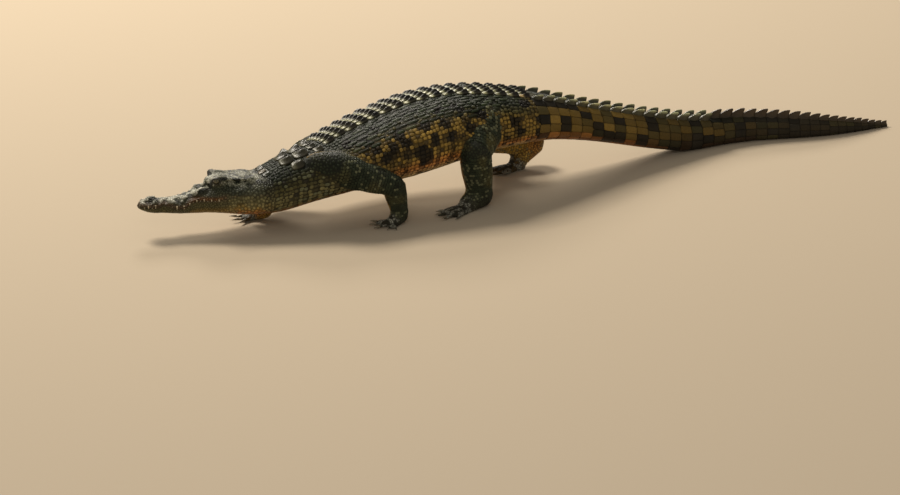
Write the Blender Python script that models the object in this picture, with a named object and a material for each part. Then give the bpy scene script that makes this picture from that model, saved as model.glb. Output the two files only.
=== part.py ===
"""Walking Nile crocodile, life size, as parted low-facet solids.

Built whole from one body loft, four limbs and a few bony details, then parted
with thin cuts.  Metres; head toward -Y, the animal's left side at +X, floor
at z = 0; the finished box's bottom centre is the origin.
"""
import math

import bpy
import bmesh
import numpy as np
from mathutils import Matrix, Vector

# ---------------------------------------------------------------- dimensions
GAP = 0.0004            # clear gap left by every parting cut
AROUND = 16             # facets round the body
SUNK = 0.003            # soles and tail underside start this far under the floor

# Body stations along Y: (y, sideways x, top z, bottom z, half width, widest height
# from the bottom as a share of the depth, squareness above, squareness below)
BODY = (
    (-1.2376, -0.1332, 0.103, 0.092, 0.009, 0.50, 2.0, 2.0),  # snout tip
    (-1.2299, -0.1309, 0.109, 0.085, 0.024, 0.48, 2.1, 2.1),
    (-1.2108, -0.1250, 0.115, 0.078, 0.034, 0.45, 2.3, 2.3),  # nostrils
    (-1.1898, -0.1186, 0.117, 0.074, 0.036, 0.45, 2.3, 2.4),
    (-1.1697, -0.1125, 0.113, 0.072, 0.030, 0.48, 2.2, 2.4),  # tooth notch
    (-1.1505, -0.1066, 0.114, 0.070, 0.034, 0.48, 2.2, 2.4),
    (-1.1199, -0.0973, 0.117, 0.068, 0.043, 0.46, 2.2, 2.5),  # jaw bulge
    (-1.0865, -0.0870, 0.127, 0.066, 0.044, 0.46, 2.2, 2.5),
    (-1.0530, -0.0768, 0.140, 0.065, 0.050, 0.46, 2.2, 2.5),
    (-1.0195, -0.0666, 0.153, 0.064, 0.060, 0.44, 2.4, 2.6),  # eyes
    (-0.9861, -0.0563, 0.160, 0.061, 0.073, 0.42, 2.6, 2.6),
    (-0.9478, -0.0446, 0.167, 0.057, 0.087, 0.42, 2.6, 2.6),  # jaw corner
    (-0.9096, -0.0329, 0.169, 0.053, 0.095, 0.42, 2.5, 2.5),
    (-0.8650, -0.0205, 0.188, 0.050, 0.101, 0.42, 2.2, 2.3),  # nape
    (-0.8200, -0.0125, 0.208, 0.053, 0.107, 0.44, 2.1, 2.2),
    (-0.7700, -0.0060, 0.222, 0.065, 0.118, 0.45, 2.1, 2.2),  # neck
    (-0.7000, -0.0020, 0.232, 0.080, 0.135, 0.46, 2.2, 2.3),
    (-0.640, -0.005, 0.246, 0.088, 0.152, 0.46, 2.3, 2.4),   # shoulders
    (-0.550, -0.010, 0.271, 0.092, 0.166, 0.46, 2.3, 2.5),
    (-0.450, -0.013, 0.296, 0.100, 0.177, 0.45, 2.3, 2.5),   # belly
    (-0.350, -0.012, 0.316, 0.110, 0.180, 0.45, 2.3, 2.5),
    (-0.250, -0.008, 0.325, 0.124, 0.172, 0.46, 2.3, 2.5),
    (-0.150, -0.004, 0.320, 0.132, 0.152, 0.48, 2.3, 2.5),   # hips
    (-0.050, 0.000, 0.303, 0.133, 0.130, 0.50, 2.3, 2.5),
    (0.050, 0.000, 0.277, 0.131, 0.107, 0.50, 2.4, 2.5),     # vent
    (0.150, 0.000, 0.245, 0.117, 0.088, 0.48, 2.5, 2.6),
    (0.250, 0.000, 0.211, 0.094, 0.075, 0.46, 2.6, 2.6),
    (0.350, 0.000, 0.179, 0.066, 0.066, 0.45, 2.7, 2.6),
    (0.450, 0.000, 0.148, 0.037, 0.059, 0.44, 2.7, 2.6),
    (0.550, 0.000, 0.121, 0.011, 0.053, 0.42, 2.7, 2.6),
    (0.620, 0.000, 0.104, -SUNK, 0.049, 0.40, 2.6, 2.6),     # tail meets the floor
    (0.720, 0.002, 0.086, -SUNK, 0.043, 0.38, 2.5, 2.6),
    (0.820, 0.015, 0.077, -SUNK, 0.037, 0.38, 2.5, 2.6),
    (0.920, 0.050, 0.068, -SUNK, 0.031, 0.38, 2.4, 2.6),
    (1.020, 0.089, 0.057, -SUNK, 0.025, 0.38, 2.4, 2.6),
    (1.120, 0.116, 0.042, -SUNK, 0.019, 0.38, 2.3, 2.5),
    (1.210, 0.127, 0.027, -SUNK, 0.013, 0.40, 2.2, 2.4),
    (1.270, 0.130, 0.015, -SUNK, 0.008, 0.42, 2.1, 2.2),
    (1.292, 0.131, 0.008, -0.001, 0.005, 0.45, 2.0, 2.0),    # tail tip
)

# Parting planes across the body, by Y, from the head back
PART_Y = {"head": -0.885, "neck": -0.705, "chest": -0.430, "belly": -0.195,
          "pelvis": 0.060, "tail_1": 0.330, "tail_2": 0.612, "tail_3": 0.878,
          "tail_4": 1.085}

# The head's own frame: back of the skull, turned to its right; then
# (sideways, forward, height) places inside it
SKULL_BACK, SKULL_TURN = (-0.030, -0.900), 17.0
EYE = {"at": (0.0400, 0.1215, 0.1690), "radius": 0.0112}
BROW = {"at": (0.0302, 0.1043, 0.1632), "half": (0.0177, 0.0351, 0.0183)}
RIDGE = {"at": (0.0218, 0.1490, 0.1290), "half": (0.0140, 0.0400, 0.0170)}   # before the eye
BETWEEN = {"at": (0.0, 0.1150, 0.1560), "half": (0.0300, 0.0420, 0.0190)}    # between the eyes
TABLE = {"front": 0.104, "back": 0.004, "front_half": 0.040, "back_half": 0.052,
         "top": 0.1755, "under": 0.150}
NOSTRIL = {"at": (0.0, 0.3120, 0.1125), "half": (0.0195, 0.0200, 0.0090)}

# Mouth line, forward place and height, front to back, then down behind the corner
MOUTH = ((0.375, 0.101), (0.345, 0.100), (0.325, 0.0975), (0.307, 0.097), (0.290, 0.099),
         (0.278, 0.102), (0.262, 0.0965), (0.243, 0.0905), (0.222, 0.0890), (0.209, 0.097),
         (0.196, 0.1070), (0.175, 0.1115), (0.150, 0.1110), (0.120, 0.111), (0.095, 0.119),
         (0.071, 0.129), (0.052, 0.122), (0.036, 0.095), (0.026, 0.020))

# Teeth that show beside the closed mouth: (forward, length, points up, radius)
TEETH = ((0.326, 0.008, False, 0.0022), (0.305, 0.010, False, 0.0026),
         (0.277, 0.014, True, 0.0030), (0.241, 0.011, False, 0.0030),
         (0.220, 0.012, False, 0.0032))

# Tail crest: paired blades, then one row; lengths along the tail
PAIRED = {"count": 16, "first_y": 0.018, "pitch": 0.0425, "height": (0.014, 0.024),
          "apart": (0.052, 0.013), "thick": 0.010}
SINGLE = {"count": 19, "pitch": (0.0405, 0.0215), "height": (0.034, 0.008), "thick": (0.013, 0.007)}

# Limbs, root to ankle: joint centres and radii; signs already for each side
HIND = {
    "left": {"side": 1, "hip": (0.072, -0.168, 0.230), "knee": (0.166, -0.248, 0.180),
             "ankle": (0.152, -0.222, 0.045), "toe_yaw": 13.0, "heel_up": 0.0},
    "right": {"side": -1, "hip": (-0.070, -0.120, 0.225), "knee": (-0.158, -0.010, 0.102),
              "ankle": (-0.108, 0.122, 0.080), "toe_yaw": 8.0, "heel_up": 0.048},
}
FORE = {
    "left": {"side": 1, "shoulder": (0.100, -0.672, 0.178), "elbow": (0.172, -0.535, 0.130),
             "wrist": (0.163, -0.508, 0.034), "finger_yaw": 12.0},
    "right": {"side": -1, "shoulder": (-0.105, -0.668, 0.168), "elbow": (-0.152, -0.762, 0.088),
              "wrist": (-0.084, -0.838, 0.032), "finger_yaw": -34.0},
}
THIGH_R, KNEE_R, ANKLE_R = 0.070, 0.050, 0.042
SHOULDER_R, ELBOW_R, WRIST_R = 0.050, 0.0365, 0.0275

# Digits: (spread in degrees, length, root radius, clawed), inner digit first
TOES = ((20.0, 0.082, 0.0120, True), (6.0, 0.106, 0.0130, True),
        (-9.0, 0.112, 0.0125, True), (-25.0, 0.098, 0.0100, False))
FINGERS = ((56.0, 0.046, 0.0100, True), (28.0, 0.056, 0.0100, True), (2.0, 0.061, 0.0100, True),
           (-26.0, 0.055, 0.0085, False), (-56.0, 0.042, 0.0075, False))
SOLE = {"length": 0.068, "half": 0.032}
PALM = {"length": 0.038, "half": 0.028}
CLAW = {"length": 0.021, "radius": 0.0050}

HIDE = ("hide", (0.16, 0.16, 0.09, 1.0), 0.62)
PALE_HIDE = ("pale_hide", (0.50, 0.42, 0.22, 1.0), 0.60)
HORN = ("horn", (0.09, 0.08, 0.065, 1.0), 0.40)
CORNEA = ("eye", (0.22, 0.24, 0.08, 1.0), 0.12)


# -------------------------------------------------------------------- helpers
def smooth_columns(table, at):
    """Monotone cubic reading of every column of a station table at the places given."""
    rows = np.array(table, dtype=float)
    x = rows[:, 0]
    step = np.diff(x)
    out = [np.asarray(at, dtype=float)]
    place = np.clip(np.searchsorted(x, at, side="right") - 1, 0, len(x) - 2)
    t = (np.asarray(at) - x[place]) / step[place]
    for column in rows[:, 1:].T:
        slope = np.diff(column) / step
        rate = np.zeros_like(column)
        rate[0], rate[-1] = slope[0], slope[-1]
        for i in range(1, len(x) - 1):
            if slope[i - 1] * slope[i] > 0:
                w1, w2 = 2 * step[i] + step[i - 1], step[i] + 2 * step[i - 1]
                rate[i] = (w1 + w2) / (w1 / slope[i - 1] + w2 / slope[i])
        a, b = column[place], column[place + 1]
        ra, rb = rate[place] * step[place], rate[place + 1] * step[place]
        out.append((2 * t**3 - 3 * t**2 + 1) * a + (t**3 - 2 * t**2 + t) * ra
                   + (-2 * t**3 + 3 * t**2) * b + (t**3 - t**2) * rb)
    return np.stack(out, axis=1)


def body_at(y):
    """One station read from the body table."""
    return smooth_columns(BODY, np.array([y]))[0]


def heading(y):
    """Unit direction of the spine in plan at y, tailward."""
    before, after = body_at(max(y - 0.01, BODY[0][0])), body_at(min(y + 0.01, BODY[-1][0]))
    run = Vector((after[1] - before[1], after[0] - before[0], 0.0))
    return run.normalized()


def body_ring(row, grow=0.0):
    """Points of one cross-section, squarish above and below, counter-clockwise."""
    y, x, top, bottom, half, share, above, below = row
    ahead = heading(y)
    side = Vector((ahead.y, -ahead.x, 0.0))
    middle = bottom + share * (top - bottom)
    points = []
    for k in range(AROUND):
        turn = 2 * math.pi * (k + 0.5) / AROUND
        c, s = math.cos(turn), math.sin(turn)
        power = 2.0 / (above if s >= 0 else below)
        reach = (top - middle if s >= 0 else middle - bottom) + grow
        across = math.copysign(abs(c) ** power, c) * (half + grow)
        rise = math.copysign(abs(s) ** power, s) * reach
        points.append(Vector((x, y, middle)) + side * across + Vector((0, 0, rise)))
    return points


def mesh_object(name, points, faces, collection, finish=None):
    """A closed object from points and faces, its normals turned outward."""
    mesh = bpy.data.meshes.new(name)
    mesh.from_pydata([tuple(p) for p in points], [], faces)
    shell = bmesh.new()
    shell.from_mesh(mesh)
    bmesh.ops.remove_doubles(shell, verts=shell.verts, dist=1e-6)
    bmesh.ops.recalc_face_normals(shell, faces=shell.faces)
    shell.to_mesh(mesh)
    shell.free()
    piece = bpy.data.objects.new(name, mesh)
    collection.objects.link(piece)
    if finish:
        mesh.materials.append(material(finish))
    return piece


def loft(name, rings, collection):
    """Skin a run of equal rings and close both ends."""
    count = len(rings[0])
    points = [p for ring in rings for p in ring]
    faces = []
    for r in range(len(rings) - 1):
        for k in range(count):
            a, b = r * count + k, r * count + (k + 1) % count
            faces.append((a, b, b + count, a + count))
    faces.append(tuple(range(count)))
    faces.append(tuple(range(len(points) - count, len(points))))
    return mesh_object(name, points, faces, collection)


def material(finish):
    """The Principled material of one finish, made once."""
    name, colour, roughness = finish
    made = bpy.data.materials.get(name)
    if made is None:
        made = bpy.data.materials.new(name)
        made.use_nodes = True
        shader = made.node_tree.nodes["Principled BSDF"]
        shader.inputs["Base Color"].default_value = colour
        shader.inputs["Roughness"].default_value = roughness
    return made


def settle(piece):
    """Write a piece's modifiers and placing into its mesh."""
    bpy.context.view_layer.update()
    graph = bpy.context.evaluated_depsgraph_get()
    done = bpy.data.meshes.new_from_object(piece.evaluated_get(graph))
    done.transform(piece.matrix_world)
    piece.modifiers.clear()
    piece.data = done
    piece.matrix_world = Matrix.Identity(4)
    return piece


def combine(target, others, operation):
    """Union or difference with the exact solver, one at a time; the others are used up."""
    for other in others:
        step = target.modifiers.new(operation.lower(), "BOOLEAN")
        step.operation = operation
        step.solver = "EXACT"
        step.object = other
        settle(target)
        bpy.data.objects.remove(other, do_unlink=True)
    return target


def ball(name, at, half, collection, segments=14, rings=9):
    """An ellipsoid from the sphere primitive."""
    bpy.ops.mesh.primitive_uv_sphere_add(segments=segments, ring_count=rings, radius=1.0)
    piece = bpy.context.object
    piece.name = name
    piece.data.transform(Matrix.Translation(at) @ Matrix.Diagonal((*half, 1.0)))
    for holder in list(piece.users_collection):
        holder.objects.unlink(piece)
    collection.objects.link(piece)
    return piece


def block(name, lower, upper, collection, turn=None):
    """A box between two corners, turned by a matrix if one is given."""
    (x0, y0, z0), (x1, y1, z1) = lower, upper
    points = [Vector((x, y, z)) for x in (x0, x1) for y in (y0, y1) for z in (z0, z1)]
    if turn is not None:
        points = [turn @ p for p in points]
    faces = [(0, 1, 3, 2), (4, 6, 7, 5), (0, 4, 5, 1), (2, 3, 7, 6), (0, 2, 6, 4), (1, 5, 7, 3)]
    return mesh_object(name, points, faces, collection)


def rod(name, stops, radii, collection, sides=10, flat=1.0, swell=0.0, caps=(45, 80)):
    """A round-ended loft through stops; flat presses it down, swell fattens the spans."""
    stops = [Vector(p) for p in stops]
    ways = [(b - a).normalized() for a, b in zip(stops, stops[1:])]
    rings = []
    for turn in reversed(caps):
        a = math.radians(turn)
        rings.append((stops[0] - ways[0] * radii[0] * math.sin(a), radii[0] * math.cos(a), ways[0]))
    for i, stop in enumerate(stops):
        before, after = ways[max(i - 1, 0)], ways[min(i, len(ways) - 1)]
        rings.append((stop, radii[i], (before + after).normalized()))
        if i + 1 < len(stops) and len(caps) > 1:
            rings.append((stop.lerp(stops[i + 1], 0.5), (radii[i] + radii[i + 1]) / 2 + swell, ways[i]))
    for turn in caps:
        a = math.radians(turn)
        rings.append((stops[-1] + ways[-1] * radii[-1] * math.sin(a), radii[-1] * math.cos(a), ways[-1]))
    shapes = []
    for middle, radius, along in rings:
        cross = along.cross(Vector((0, 0, 1)))
        if cross.length < 0.3:
            cross = Vector((0, 1, 0)).cross(along)
            cross = cross if cross.dot(along.cross(Vector((0, 0, 1)))) >= 0 else -cross
        cross.normalize()
        lift = cross.cross(along).normalized()
        shapes.append([middle + cross * radius * math.cos(2 * math.pi * k / sides)
                       + lift * radius * flat * math.sin(2 * math.pi * k / sides)
                       for k in range(sides)])
    return loft(name, shapes, collection)


def capsule(name, start, end, start_r, end_r, collection, sides=10, swell=0.0, flat=1.0):
    """A tapered rod with round ends."""
    return rod(name, (start, end), (start_r, end_r), collection, sides, flat, swell)


# -------------------------------------------------------------------- the body
def body_solid(name, collection, grow=0.0):
    """The whole body from snout to tail tip, with extra rings between stations."""
    ys = []
    for before, after in zip(BODY, BODY[1:]):
        ys.append(before[0])
        if after[0] - before[0] > 0.06:
            ys.append(0.5 * (before[0] + after[0]))
    ys.append(BODY[-1][0])
    rows = smooth_columns(BODY, np.array(ys))
    return loft(name, [body_ring(row, grow) for row in rows], collection)


def head_point(sideways, forward, height):
    """A place in the head's own frame, brought into the model's."""
    turn = math.radians(SKULL_TURN)
    ahead = Vector((-math.sin(turn), -math.cos(turn), 0.0))
    left = Vector((math.cos(turn), -math.sin(turn), 0.0))
    return Vector((*SKULL_BACK, height)) + ahead * forward + left * sideways


def head_ball(name, at, half, side, collection, segments, rings):
    """An ellipsoid lined up with the head."""
    piece = ball(name, (0, 0, 0), half, collection, segments, rings)
    piece.data.transform(Matrix.Rotation(-math.radians(SKULL_TURN), 4, "Z"))
    piece.data.transform(Matrix.Translation(head_point(side * at[0], at[1], at[2])))
    return piece


def half_width(forward):
    """Half width of the head at a forward place."""
    return body_at(head_point(0, forward, 0).y)[4]


def head_details(collection):
    """Brows and the ridges before them, flat skull table, nostril boss and the teeth that show."""
    pieces = [head_ball("brow", spec["at"], spec["half"], side, collection, 12, 7)
              for spec in (BROW, RIDGE) for side in (-1, 1)]
    pieces.append(head_ball("between", BETWEEN["at"], BETWEEN["half"], 1, collection, 10, 6))
    front, back = TABLE["front"], TABLE["back"]
    wide, wider, top, under = (TABLE[k] for k in ("front_half", "back_half", "top", "under"))
    rings = []
    for forward, half, rise in ((front, wide, top - 0.004), (front - 0.02, wide + 0.003, top - 0.001),
                                (back + 0.012, wider, top), (back, wider - 0.004, top - 0.004)):
        rings.append([head_point(x, forward, z) for x, z in (
            (-half, under), (half, under), (half, rise - 0.003), (half - 0.004, rise),
            (0.0, rise - 0.002), (0.004 - half, rise), (-half, rise - 0.003))])
    pieces.append(loft("table", rings, collection))
    pieces.append(head_ball("nostril", NOSTRIL["at"], NOSTRIL["half"], 1, collection, 8, 5))
    mouth = sorted(MOUTH)
    for forward, length, upward, radius in TEETH:
        line = float(np.interp(forward, [p[0] for p in mouth], [p[1] for p in mouth]))
        way = 1 if upward else -1
        for side in (-1, 1):
            out = side * (half_width(forward) - 0.0030)
            shapes = []
            for t, share in ((0.0, 1.0), (0.6, 0.75), (1.0, 0.25)):
                height = line + way * (-0.004 + t * (length + 0.002))
                at = head_point(out + side * 0.0015 * t, forward, height)
                shapes.append([at + Vector((radius * share * math.cos(a), radius * share * math.sin(a), 0))
                               for a in (2 * math.pi * k / 5 for k in range(5))])
            pieces.append(loft("tooth", shapes, collection))
    return pieces


def tail_stops():
    """Spine places along the tail, by running length from the first crest blade."""
    ys = np.linspace(PAIRED["first_y"], BODY[-1][0], 400)
    rows = smooth_columns(BODY, ys)
    run = np.concatenate(([0.0], np.cumsum(np.hypot(np.diff(rows[:, 0]), np.diff(rows[:, 1])))))
    return run, rows


def blade(name, row, ahead, span, height, thick, offset, lean, collection):
    """One crest blade: long rising front edge, short upright back edge."""
    y, x, top, bottom, half, share, above, below = row
    side = Vector((ahead.y, -ahead.x, 0.0))
    reach = top - (bottom + share * (top - bottom))
    drop = reach * (1 - (1 - min(abs(offset) / half, 0.95) ** above) ** (1 / above))
    foot = Vector((x, y, top - drop - 0.010)) + side * offset
    slope = (body_at(min(y + 0.02, BODY[-1][0]))[2] - body_at(y - 0.02)[2]) / 0.04
    outline = ((0.02, 0.0), (0.50, 0.010 + 0.66 * height), (0.93, 0.010 + height), (0.95, 0.0))
    points = []
    for flank in (-1, 1):
        for t, rise in outline:
            thin = thick * (0.5 if rise < 0.001 else 0.5 * (1 - 0.75 * min(rise / (height + 0.01), 1)))
            tilt = lean * rise
            at = foot + ahead * (t * span) + Vector((0, 0, rise + slope * t * span))
            points.append(at + side * (flank * thin + tilt))
    faces = [(0, 1, 2, 3), (7, 6, 5, 4), (0, 4, 5, 1), (1, 5, 6, 2), (2, 6, 7, 3), (3, 7, 4, 0)]
    return mesh_object(name, points, faces, collection)


def crest(collection):
    """Both crest runs as a list of blades."""
    run, rows = tail_stops()
    pieces, at = [], 0.0
    for i in range(PAIRED["count"]):
        t = i / (PAIRED["count"] - 1)
        y = float(np.interp(at, run, rows[:, 0]))
        low, high = PAIRED["height"]
        wide, near = PAIRED["apart"]
        for side in (-1, 1):
            offset = side * (wide + (near - wide) * t ** 0.8)
            pieces.append(blade("blade", body_at(y), heading(y), PAIRED["pitch"],
                                low + (high - low) * t, PAIRED["thick"], offset, side * 0.28, collection))
        at += PAIRED["pitch"]
    total = run[-1] - at
    pitches = np.linspace(*SINGLE["pitch"], SINGLE["count"])
    pitches *= (total - 0.004) / pitches.sum()
    for i, pitch in enumerate(pitches):
        t = i / (SINGLE["count"] - 1)
        y = float(np.interp(at, run, rows[:, 0]))
        height = SINGLE["height"][0] + (SINGLE["height"][1] - SINGLE["height"][0]) * t ** 1.25
        thick = SINGLE["thick"][0] + (SINGLE["thick"][1] - SINGLE["thick"][0]) * t
        pieces.append(blade("blade", body_at(y), heading(y), pitch, height, thick, 0.0, 0.0, collection))
        at += pitch
    return pieces


# -------------------------------------------------------------------- the limbs
def foot_frame(at, yaw):
    """Placing of a foot: its own +Y points to the toes, turned toward the left by yaw."""
    return Matrix.Translation(at) @ Matrix.Rotation(math.pi + math.radians(yaw), 4, "Z")


def digits(place, side, spec, base, collection):
    """Digits spread from the front of a sole; returns flesh pieces and claws."""
    flesh, claws = [], []
    for spread, length, radius, clawed in spec:
        turn = math.radians(spread) * side
        way = Vector((math.sin(turn), math.cos(turn), 0.0))
        root = Vector((base["half"] * 0.62 * math.sin(turn) * 1.4, base["length"], radius * 1.05))
        tip = root + way * (length - radius)
        tip.z = radius * 0.66 - 0.0006
        knuckle = root.lerp(tip, 0.45) + Vector((0, 0, radius * 0.15))
        a, b, c = place @ root, place @ knuckle, place @ tip
        flesh.append(rod("digit", (a, b, c), (radius, radius * 0.92, radius * 0.66), collection, 6,
                         caps=(60,)))
        if clawed:
            claws.append((c, (c - b).normalized(), radius * 0.66))
    return flesh, claws


def web(place, side, spec, base, share, thick, collection):
    """A thin plate between the digits, notched by its own outline."""
    outline = [Vector((-base["half"] * 0.7, base["length"] * 0.5, 0)), ]
    reach = []
    for spread, length, radius, clawed in spec:
        turn = math.radians(spread) * side
        way = Vector((math.sin(turn), math.cos(turn), 0.0))
        root = Vector((base["half"] * 0.62 * math.sin(turn) * 1.4, base["length"], 0))
        reach.append(root + way * length * share)
    reach.sort(key=lambda p: p.x)
    outline = [Vector((-base["half"] * 0.7, base["length"] * 0.5, 0))]
    for i, p in enumerate(reach):
        outline.append(p)
        if i + 1 < len(reach):
            middle = (p + reach[i + 1]) * 0.5
            outline.append(middle - Vector((0, base["length"] * 0.16, 0)))
    outline.append(Vector((base["half"] * 0.7, base["length"] * 0.5, 0)))
    count = len(outline)
    points = [place @ (p + Vector((0, 0, z))) for z in (-0.002, thick) for p in outline]
    faces = [tuple(range(count)), tuple(range(count, 2 * count))]
    faces += [(k, (k + 1) % count, count + (k + 1) % count, count + k) for k in range(count)]
    return mesh_object("web", points, faces, collection)


def claw_solid(name, at, way, start_r, collection):
    """A curved cone standing just clear of the digit's flat tip."""
    side = way.cross(Vector((0, 0, 1))).normalized()
    lift = side.cross(way).normalized()
    shapes = []
    for t, scale in ((0.0, 1.0), (0.5, 0.8), (0.97, 0.18)):
        middle = at + way * (start_r * math.sin(math.radians(60)) + GAP * 2.5 + t * CLAW["length"])
        radius = CLAW["radius"] * scale
        middle.z = max(middle.z + 0.002 * t - 0.005 * t * t, radius + 0.0005)
        shapes.append([middle + side * radius * 0.8 * math.cos(a) + lift * radius * math.sin(a)
                       for a in (2 * math.pi * k / 6 for k in range(6))])
    return loft(name, shapes, collection)


def sole_parts(name, spec, collection, grow=0.0):
    """The thick parts of a hind foot: heel to toe roots, and the arch up to the ankle."""
    ankle = Vector(spec["ankle"])
    place = foot_frame((ankle.x, ankle.y, 0.0), spec["toe_yaw"])
    ball_at = place @ Vector((0, SOLE["length"] * 0.95, 0.012))
    heel_at = place @ Vector((0, -0.014, 0.024 + spec["heel_up"]))
    arch_at = ankle - Vector((0, 0, 0.006))
    return [capsule(name + "_sole", heel_at, ball_at, 0.030 + grow, 0.025 + grow, collection, 10, 0.0, 0.86),
            capsule(name + "_arch", arch_at, ball_at, ANKLE_R * 1.04 + grow, 0.020 + grow, collection, 10)]


def palm_parts(name, spec, collection, grow=0.0):
    """The thick part of a hand, with a round wrist."""
    wrist = Vector(spec["wrist"])
    place = foot_frame((wrist.x, wrist.y, 0.0), spec["finger_yaw"])
    palm_at = place @ Vector((0, PALM["length"] * 0.75, 0.013))
    heel_at = place @ Vector((0, -0.004, 0.018))
    return [capsule(name + "_palm", heel_at, palm_at, 0.024 + grow, 0.025 + grow, collection, 10, 0.0, 0.72),
            capsule(name + "_wrist", wrist, palm_at, WRIST_R * 1.06 + grow, 0.014 + grow, collection, 10)]


LIMBS = {
    "hind": {"group": HIND, "joints": ("hip", "knee", "ankle"), "radii": (THIGH_R, KNEE_R, ANKLE_R),
             "swell": (0.006, 0.003), "thick": sole_parts, "digits": TOES, "base": SOLE,
             "yaw": "toe_yaw", "web": 0.66},
    "front": {"group": FORE, "joints": ("shoulder", "elbow", "wrist"),
              "radii": (SHOULDER_R, ELBOW_R, WRIST_R), "swell": (-0.003, 0.002),
              "thick": palm_parts, "digits": FINGERS, "base": PALM, "yaw": "finger_yaw", "web": 0.34},
}


def limb(label, which, body_space, model, cutters):
    """Upper length, lower length, foot and claws of one limb, each clear of the next."""
    kind = LIMBS[label]
    spec = kind["group"][which]
    name = f"{label}_{which}"
    root, bend, end = (Vector(spec[k]) for k in kind["joints"])
    root_r, bend_r, end_r = kind["radii"]
    thick, digit_spec, base = kind["thick"], kind["digits"], kind["base"]

    upper = capsule(name + "_upper", root, bend, root_r, bend_r * 0.93, model, 12, kind["swell"][0])
    lower = capsule(name + "_lower", bend, end, bend_r * 1.03, end_r * 0.94, model, 12, kind["swell"][1])
    clear_lower = capsule("clear", bend, end, bend_r * 1.03 + GAP, end_r * 0.94 + GAP, cutters, 12,
                          kind["swell"][1])
    combine(upper, [clear_lower, copy_of(body_space, cutters)], "DIFFERENCE")
    combine(lower, thick("clear", spec, cutters, GAP) + [copy_of(body_space, cutters)], "DIFFERENCE")

    place = foot_frame((end.x, end.y, 0.0), spec[kind["yaw"]])
    toes, talons = digits(place, spec["side"], digit_spec, base, model)
    foot, *rest = thick(name + "_foot", spec, model)
    rest += toes + [web(place, spec["side"], digit_spec, base, kind["web"], 0.006, model)]
    combine(foot, rest, "UNION")
    combine(foot, [block("under_floor", (-1, -2, -0.3), (1, 2, 0.0), cutters),
                   copy_of(body_space, cutters)], "DIFFERENCE")
    made = []
    for piece, label in ((upper, "_upper"), (lower, "_lower"), (foot, "_foot")):
        made += keep_parts(piece, lambda middle, label=label: name + label, model, HIDE, True)
    for i, (at, way, radius) in enumerate(talons):
        claw = claw_solid(f"claw_{name}_{i + 1}", at, way, radius, model)
        claw.data.materials.append(material(HORN))
        made.append(claw)
    return made


def copy_of(piece, collection):
    """A copy with its own mesh, to be used up as a cutter."""
    twin = piece.copy()
    twin.data = piece.data.copy()
    collection.objects.link(twin)
    return twin


def loose_parts(piece):
    """Split a mesh object into its separate shells, as vertex and face lists."""
    shell = bmesh.new()
    shell.from_mesh(piece.data)
    bmesh.ops.remove_doubles(shell, verts=shell.verts, dist=1e-7)
    shell.verts.ensure_lookup_table()
    seen, groups = set(), []
    for start in shell.verts:
        if start.index in seen:
            continue
        stack, group = [start], []
        seen.add(start.index)
        while stack:
            v = stack.pop()
            group.append(v)
            for e in v.link_edges:
                w = e.other_vert(v)
                if w.index not in seen:
                    seen.add(w.index)
                    stack.append(w)
        groups.append(group)
    parts = []
    for group in groups:
        number = {v.index: i for i, v in enumerate(group)}
        faces = {f for v in group for f in v.link_faces}
        parts.append(([v.co.copy() for v in group],
                      [tuple(number[v.index] for v in f.verts) for f in sorted(faces, key=lambda f: f.index)]))
    shell.free()
    return parts


def middle_of(points):
    """Centre of the box round some points."""
    low = Vector([min(p[i] for p in points) for i in range(3)])
    high = Vector([max(p[i] for p in points) for i in range(3)])
    return (low + high) * 0.5, high - low


def keep_parts(piece, namer, collection, finish, only_largest=False):
    """Rename every separate shell by the namer's answer; specks are dropped."""
    made = []
    parts = loose_parts(piece)
    bpy.data.objects.remove(piece, do_unlink=True)
    if only_largest:
        parts = [max(parts, key=lambda part: middle_of(part[0])[1].length)]
    for points, faces in parts:
        middle, size = middle_of(points)
        if max(size) < 0.004:
            continue
        made.append(mesh_object(namer(middle), points, faces, collection, finish))
    return made


def mouth_ribbon(collection):
    """A thin sheet along the mouth line, reaching past both sides of the head."""
    count = len(MOUTH)
    across = []
    for i in range(count):
        before, after = Vector(MOUTH[max(i - 1, 0)]), Vector(MOUTH[min(i + 1, count - 1)])
        run = (after - before).normalized()
        across.append(Vector((-run.y, run.x)) * GAP / 2)
    outline = [Vector(p) + n for p, n in zip(MOUTH, across)]
    outline += [Vector(p) - n for p, n in reversed(list(zip(MOUTH, across)))]
    points = [head_point(x, p.x, p.y) for x in (-0.16, 0.16) for p in outline]
    total = len(outline)
    faces = [(k, k + 1, total - 2 - k, total - 1 - k) for k in range(count - 1)]
    faces += [tuple(total + v for v in face) for face in list(faces)]
    faces += [(k, (k + 1) % total, total + (k + 1) % total, total + k) for k in range(total)]
    return mesh_object("mouth_cut", points, faces, collection)


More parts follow.
